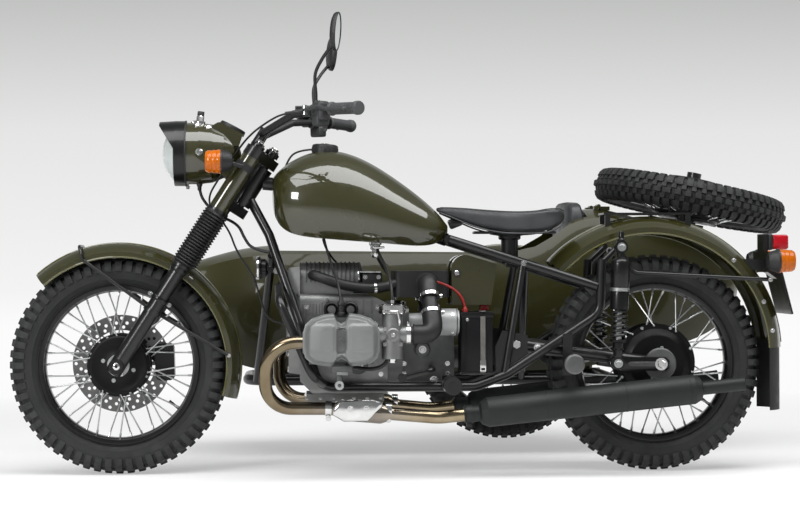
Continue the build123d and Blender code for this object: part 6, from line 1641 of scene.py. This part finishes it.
def build_fender_beads():
    # The beads wear the lightened paint, a painted highlight along the fender edges.
    front = Form()
    for side in BOTH:
        front.tube(arc_line((0, TYRE_R), 323, -16.5, 132.5, side * 69), 3.4, 8, 0)
        front.tube(arc_line((0, TYRE_R), 363.4, -15.5, 131.5, side * 26), 3.0, 8, 0)
        a = radians(5)
        front.bolt((330 * cos(a), side * 79, TYRE_R + 330 * sin(a)), (0, side, 0), 4, 1)
    show("front_fender_beads", front, "steering", ["bead_highlight_paint", "bright_steel"])
    rear = Form()
    for side in BOTH:
        rear.tube(arc_line(REAR_ARC, 358, 2.0, 138.0, side * 94), 3.6, 8, 0)
        rear.tube(arc_line(REAR_ARC, 405.5, 4.0, 136.0, side * 36), 3.4, 8, 0)
        rear.tube(arc_line((SIDECAR_AXLE_X, TYRE_R), 311, -4.0, 172.0, TRACK + side * 84), 3.6, 8, 0)
        rear.tube(arc_line((SIDECAR_AXLE_X, TYRE_R), 367.0, -2.0, 170.0, TRACK + side * 30), 3.4, 8, 0)
        for angle in (10, 24, 48):
            a = radians(angle)
            rear.bolt((REAR_ARC[0] + 372 * cos(a), side * 95, REAR_ARC[1] + 372 * sin(a)), (0, side, 0), 5, 1)
        rear.bolt((1500, side * 114, 668), (0, side, 0), 7, 1)
        rear.bolt((1950, side * 114, 578), (0, side, 0), 5, 1)
    show("rear_fender_beads", rear, "chassis", ["bead_highlight_paint", "bright_steel"])


def cushion_form(low, high, bow, seams):
    """Closed pad between two corners, crowned on top, with its sides pulled in and channels across it."""
    (x0, y0, z0), (x1, y1, z1) = low, high
    cu, cv = (x0 + x1) / 2, (y0 + y1) / 2
    hu, hv = (x1 - x0) / 2, (y1 - y0) / 2
    rings = []
    count = 96
    levels = [(0.0, 0.90), (0.06, 0.96), (0.2, 0.99), (0.5, 1.0), (0.78, 0.985), (0.9, 0.955), (0.97, 0.90)]
    levels += [(1.0, s) for s in (0.82, 0.7, 0.55, 0.4, 0.25, 0.1)]
    for level, s in levels:
        ring = []
        for j in range(count):
            turn = 2 * pi * j / count
            power = 2 / 7.0
            u = abs(cos(turn)) ** power * (1 if cos(turn) >= 0 else -1)
            v = abs(sin(turn)) ** power * (1 if sin(turn) >= 0 else -1)
            x, y = cu + hu * s * u, cv + hv * s * v
            z = z0 + (z1 - z0) * level
            if level == 1.0:
                z += bow * (1 - (abs((x - cu) / hu)) ** 3) * (1 - (abs((y - cv) / hv)) ** 3)
                for seam in seams:
                    z -= 7.0 * soft_step(14, 0, abs(x - seam))
            ring.append((x, y, z))
        rings.append(ring)
    form = Form()
    form.skin(rings, 0, caps=True)
    return form


def build_sidecar_seat():
    low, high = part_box("sidecar_seat_cushion")
    low, high = (low - HOME) / MM, (high - HOME) / MM
    cushion = cushion_form(low + Vector((3, 3, 0)), high - Vector((3, 3, 16)), 14, [1060, 1160, 1260])
    pad = show("sidecar_cushion", cushion, "chassis", ["leather"],
               ["sidecar_seat_cushion"], 60)
    low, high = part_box("sidecar_seat_back")
    low, high = (low - HOME) / MM, (high - HOME) / MM
    back = Form()
    count = 20
    rows = []
    for k in range(count + 1):
        t = k / count
        z = low.z + 2 + (high.z - low.z - 2) * t
        front = 1404 + 14 * t
        rear = 1474
        pinch = 1.0 - 0.10 * soft_step(0.86, 1.0, t)
        belly = 10 * (1 - abs(2 * t - 1) ** 3)
        row = []
        for j in range(25):
            v = -1 + 2 * j / 24
            ease = (1 - abs(v) ** 5)
            x = front - belly * ease * (1 - 0.5 * soft_step(0.06, 0.0, abs(abs(v) - 0.5)))
            row.append((x + (1 - ease) * 14, SIDECAR_Y + v * (high.y - low.y) / 2 * 0.99 * pinch,
                        z - (6 * (1 - ease) if t > 0.9 else 0)))
        behind = [(rear - (0 if t < 0.9 else 10 * (t - 0.9) / 0.1), y, z) for _, y, z in reversed(row)]
        rows.append(row + behind)
    back.skin(rows, 0, caps=True)
    pad = show("sidecar_backrest", back, "chassis", ["leather"], ["sidecar_seat_back"], 60)
    rounded(pad, 1)


class OUTFIT_OT_finishes(bpy.types.Operator):
    """Mix the finishes and paint the carried-over solids"""

    bl_idname = "outfit.finishes"
    bl_label = "Finishes"

    def execute(self, context):
        build_finishes()
        return {"FINISHED"}


class OUTFIT_OT_stage(bpy.types.Operator):
    """Floor, backdrop, soft lights and camera"""

    bl_idname = "outfit.stage"
    bl_label = "Stage"

    def execute(self, context):
        build_stage()
        return {"FINISHED"}


class OUTFIT_OT_wheels(bpy.types.Operator):
    """Block-tread tyres and spoked wheels"""

    bl_idname = "outfit.wheels"
    bl_label = "Wheels and tyres"

    def execute(self, context):
        build_wheels()
        return {"FINISHED"}


class OUTFIT_OT_gaiters(bpy.types.Operator):
    """Pleated rubber bellows on the fork"""

    bl_idname = "outfit.gaiters"
    bl_label = "Fork gaiters"

    def execute(self, context):
        build_gaiters()
        return {"FINISHED"}


class OUTFIT_OT_fork_trim(bpy.types.Operator):
    """Caps, axle ends and clamp bolts of the fork"""

    bl_idname = "outfit.fork_trim"
    bl_label = "Fork trim"

    def execute(self, context):
        build_fork_trim()
        return {"FINISHED"}


class OUTFIT_OT_headlamp(bpy.types.Operator):
    """Glass, bowl, key, pilot lamps and dial of the headlamp"""

    bl_idname = "outfit.headlamp"
    bl_label = "Headlamp"

    def execute(self, context):
        build_headlamp()
        return {"FINISHED"}


class OUTFIT_OT_lamps(bpy.types.Operator):
    """Indicators, tail lamp and marker lamps"""

    bl_idname = "outfit.lamps"
    bl_label = "Lamps"

    def execute(self, context):
        build_indicators()
        return {"FINISHED"}


class OUTFIT_OT_hand_controls(bpy.types.Operator):
    """Grips, levers and switch boxes"""

    bl_idname = "outfit.hand_controls"
    bl_label = "Hand controls"

    def execute(self, context):
        build_hand_controls()
        return {"FINISHED"}


class OUTFIT_OT_mirrors(bpy.types.Operator):
    """Oval mirrors on their stems"""

    bl_idname = "outfit.mirrors"
    bl_label = "Mirrors"

    def execute(self, context):
        build_mirrors()
        return {"FINISHED"}


class OUTFIT_OT_tank_cap(bpy.types.Operator):
    """Cap of the fuel tank"""

    bl_idname = "outfit.tank_cap"
    bl_label = "Filler cap"

    def execute(self, context):
        build_tank_cap()
        return {"FINISHED"}


class OUTFIT_OT_saddle(bpy.types.Operator):
    """Leather saddle with its piping and mount"""

    bl_idname = "outfit.saddle"
    bl_label = "Saddle"

    def execute(self, context):
        build_saddle()
        return {"FINISHED"}


class OUTFIT_OT_battery(bpy.types.Operator):
    """Battery in its tray, with its strap and posts"""

    bl_idname = "outfit.battery"
    bl_label = "Battery"

    def execute(self, context):
        build_battery()
        return {"FINISHED"}


class OUTFIT_OT_frame_bolts(bpy.types.Operator):
    """Bolts of the frame and the side covers"""

    bl_idname = "outfit.frame_bolts"
    bl_label = "Frame bolts"

    def execute(self, context):
        build_frame_bolts()
        return {"FINISHED"}


class OUTFIT_OT_rocker_covers(bpy.types.Operator):
    """Cast covers of the cylinder heads"""

    bl_idname = "outfit.rocker_covers"
    bl_label = "Rocker covers"

    def execute(self, context):
        build_rocker_covers()
        return {"FINISHED"}


class OUTFIT_OT_engine_bolts(bpy.types.Operator):
    """Bolts, covers, plug caps and the hose over the crankcase"""

    bl_idname = "outfit.engine_bolts"
    bl_label = "Engine bolts"

    def execute(self, context):
        build_engine_bolts()
        return {"FINISHED"}


class OUTFIT_OT_engine_ribs(bpy.types.Operator):
    """Ribs of the crankcase, generator rings and starter screws"""

    bl_idname = "outfit.engine_ribs"
    bl_label = "Engine ribs"

    def execute(self, context):
        build_engine_ribs()
        return {"FINISHED"}


class OUTFIT_OT_intakes(bpy.types.Operator):
    """Intake sleeves with their bands, and the fuel taps"""

    bl_idname = "outfit.intakes"
    bl_label = "Intakes"

    def execute(self, context):
        build_intakes()
        return {"FINISHED"}


class OUTFIT_OT_carburettors(bpy.types.Operator):
    """Caps, clamps and drain hoses of the carburettors"""

    bl_idname = "outfit.carburettors"
    bl_label = "Carburettors"

    def execute(self, context):
        build_carburettors()
        return {"FINISHED"}


class OUTFIT_OT_exhaust_trim(bpy.types.Operator):
    """Clamps and shields of the exhaust"""

    bl_idname = "outfit.exhaust_trim"
    bl_label = "Exhaust trim"

    def execute(self, context):
        build_exhaust_trim()
        return {"FINISHED"}


class OUTFIT_OT_cables(bpy.types.Operator):
    """Clutch cable and headlamp loom"""

    bl_idname = "outfit.cables"
    bl_label = "Control cables"

    def execute(self, context):
        build_cables()
        return {"FINISHED"}


class OUTFIT_OT_hoses(bpy.types.Operator):
    """Fuel hoses, plug leads, breather and battery lead"""

    bl_idname = "outfit.hoses"
    bl_label = "Hoses"

    def execute(self, context):
        build_hoses()
        return {"FINISHED"}


class OUTFIT_OT_horn(bpy.types.Operator):
    """Grille and bolts of the horn"""

    bl_idname = "outfit.horn"
    bl_label = "Horn"

    def execute(self, context):
        build_horn()
        return {"FINISHED"}


class OUTFIT_OT_shocks(bpy.types.Operator):
    """Rear shocks with their coils and covers"""

    bl_idname = "outfit.shocks"
    bl_label = "Shocks"

    def execute(self, context):
        build_shocks()
        return {"FINISHED"}


class OUTFIT_OT_axle_fittings(bpy.types.Operator):
    """Torque arm, axle nuts and pivot caps of the swing arm"""

    bl_idname = "outfit.axle_fittings"
    bl_label = "Axle fittings"

    def execute(self, context):
        build_axle_fittings()
        return {"FINISHED"}


class OUTFIT_OT_fender_beads(bpy.types.Operator):
    """Rolled edges and ribs of the fenders"""

    bl_idname = "outfit.fender_beads"
    bl_label = "Fender beads"

    def execute(self, context):
        build_fender_beads()
        return {"FINISHED"}


class OUTFIT_OT_sidecar_seat(bpy.types.Operator):
    """Cushion and backrest of the sidecar"""

    bl_idname = "outfit.sidecar_seat"
    bl_label = "Sidecar seat"

    def execute(self, context):
        build_sidecar_seat()
        return {"FINISHED"}


OPERATORS = [
    OUTFIT_OT_finishes,
    OUTFIT_OT_stage,
    OUTFIT_OT_wheels,
    OUTFIT_OT_gaiters,
    OUTFIT_OT_fork_trim,
    OUTFIT_OT_headlamp,
    OUTFIT_OT_lamps,
    OUTFIT_OT_hand_controls,
    OUTFIT_OT_mirrors,
    OUTFIT_OT_tank_cap,
    OUTFIT_OT_saddle,
    OUTFIT_OT_battery,
    OUTFIT_OT_frame_bolts,
    OUTFIT_OT_rocker_covers,
    OUTFIT_OT_engine_bolts,
    OUTFIT_OT_engine_ribs,
    OUTFIT_OT_intakes,
    OUTFIT_OT_carburettors,
    OUTFIT_OT_exhaust_trim,
    OUTFIT_OT_cables,
    OUTFIT_OT_hoses,
    OUTFIT_OT_horn,
    OUTFIT_OT_shocks,
    OUTFIT_OT_axle_fittings,
    OUTFIT_OT_fender_beads,
    OUTFIT_OT_sidecar_seat,
]


class OUTFIT_PT_panel(bpy.types.Panel):
    """Sidebar list of the building steps"""

    bl_label = "Sidecar outfit"
    bl_idname = "OUTFIT_PT_panel"
    bl_space_type = "VIEW_3D"
    bl_region_type = "UI"
    bl_category = "Outfit"

    def draw(self, context):
        for operator in OPERATORS:
            self.layout.operator(operator.bl_idname)


CLASSES = [OutfitColours, OutfitSizes, *OPERATORS, OUTFIT_PT_panel]


def register():
    for item in CLASSES:
        bpy.utils.register_class(item)
    bpy.types.Scene.outfit_colours = bpy.props.PointerProperty(type=OutfitColours)
    bpy.types.Scene.outfit_sizes = bpy.props.PointerProperty(type=OutfitSizes)


def unregister():
    del bpy.types.Scene.outfit_sizes
    del bpy.types.Scene.outfit_colours
    for item in reversed(CLASSES):
        bpy.utils.unregister_class(item)


def main():
    register()
    bpy.ops.outfit.finishes()
    bpy.ops.outfit.stage()
    bpy.ops.outfit.wheels()
    bpy.ops.outfit.gaiters()
    bpy.ops.outfit.fork_trim()
    bpy.ops.outfit.headlamp()
    bpy.ops.outfit.lamps()
    bpy.ops.outfit.hand_controls()
    bpy.ops.outfit.mirrors()
    bpy.ops.outfit.tank_cap()
    bpy.ops.outfit.saddle()
    bpy.ops.outfit.battery()
    bpy.ops.outfit.frame_bolts()
    bpy.ops.outfit.rocker_covers()
    bpy.ops.outfit.engine_bolts()
    bpy.ops.outfit.engine_ribs()
    bpy.ops.outfit.intakes()
    bpy.ops.outfit.carburettors()
    bpy.ops.outfit.exhaust_trim()
    bpy.ops.outfit.cables()
    bpy.ops.outfit.hoses()
    bpy.ops.outfit.horn()
    bpy.ops.outfit.shocks()
    bpy.ops.outfit.axle_fittings()
    bpy.ops.outfit.fender_beads()
    bpy.ops.outfit.sidecar_seat()


if __name__ == "__main__":
    main()
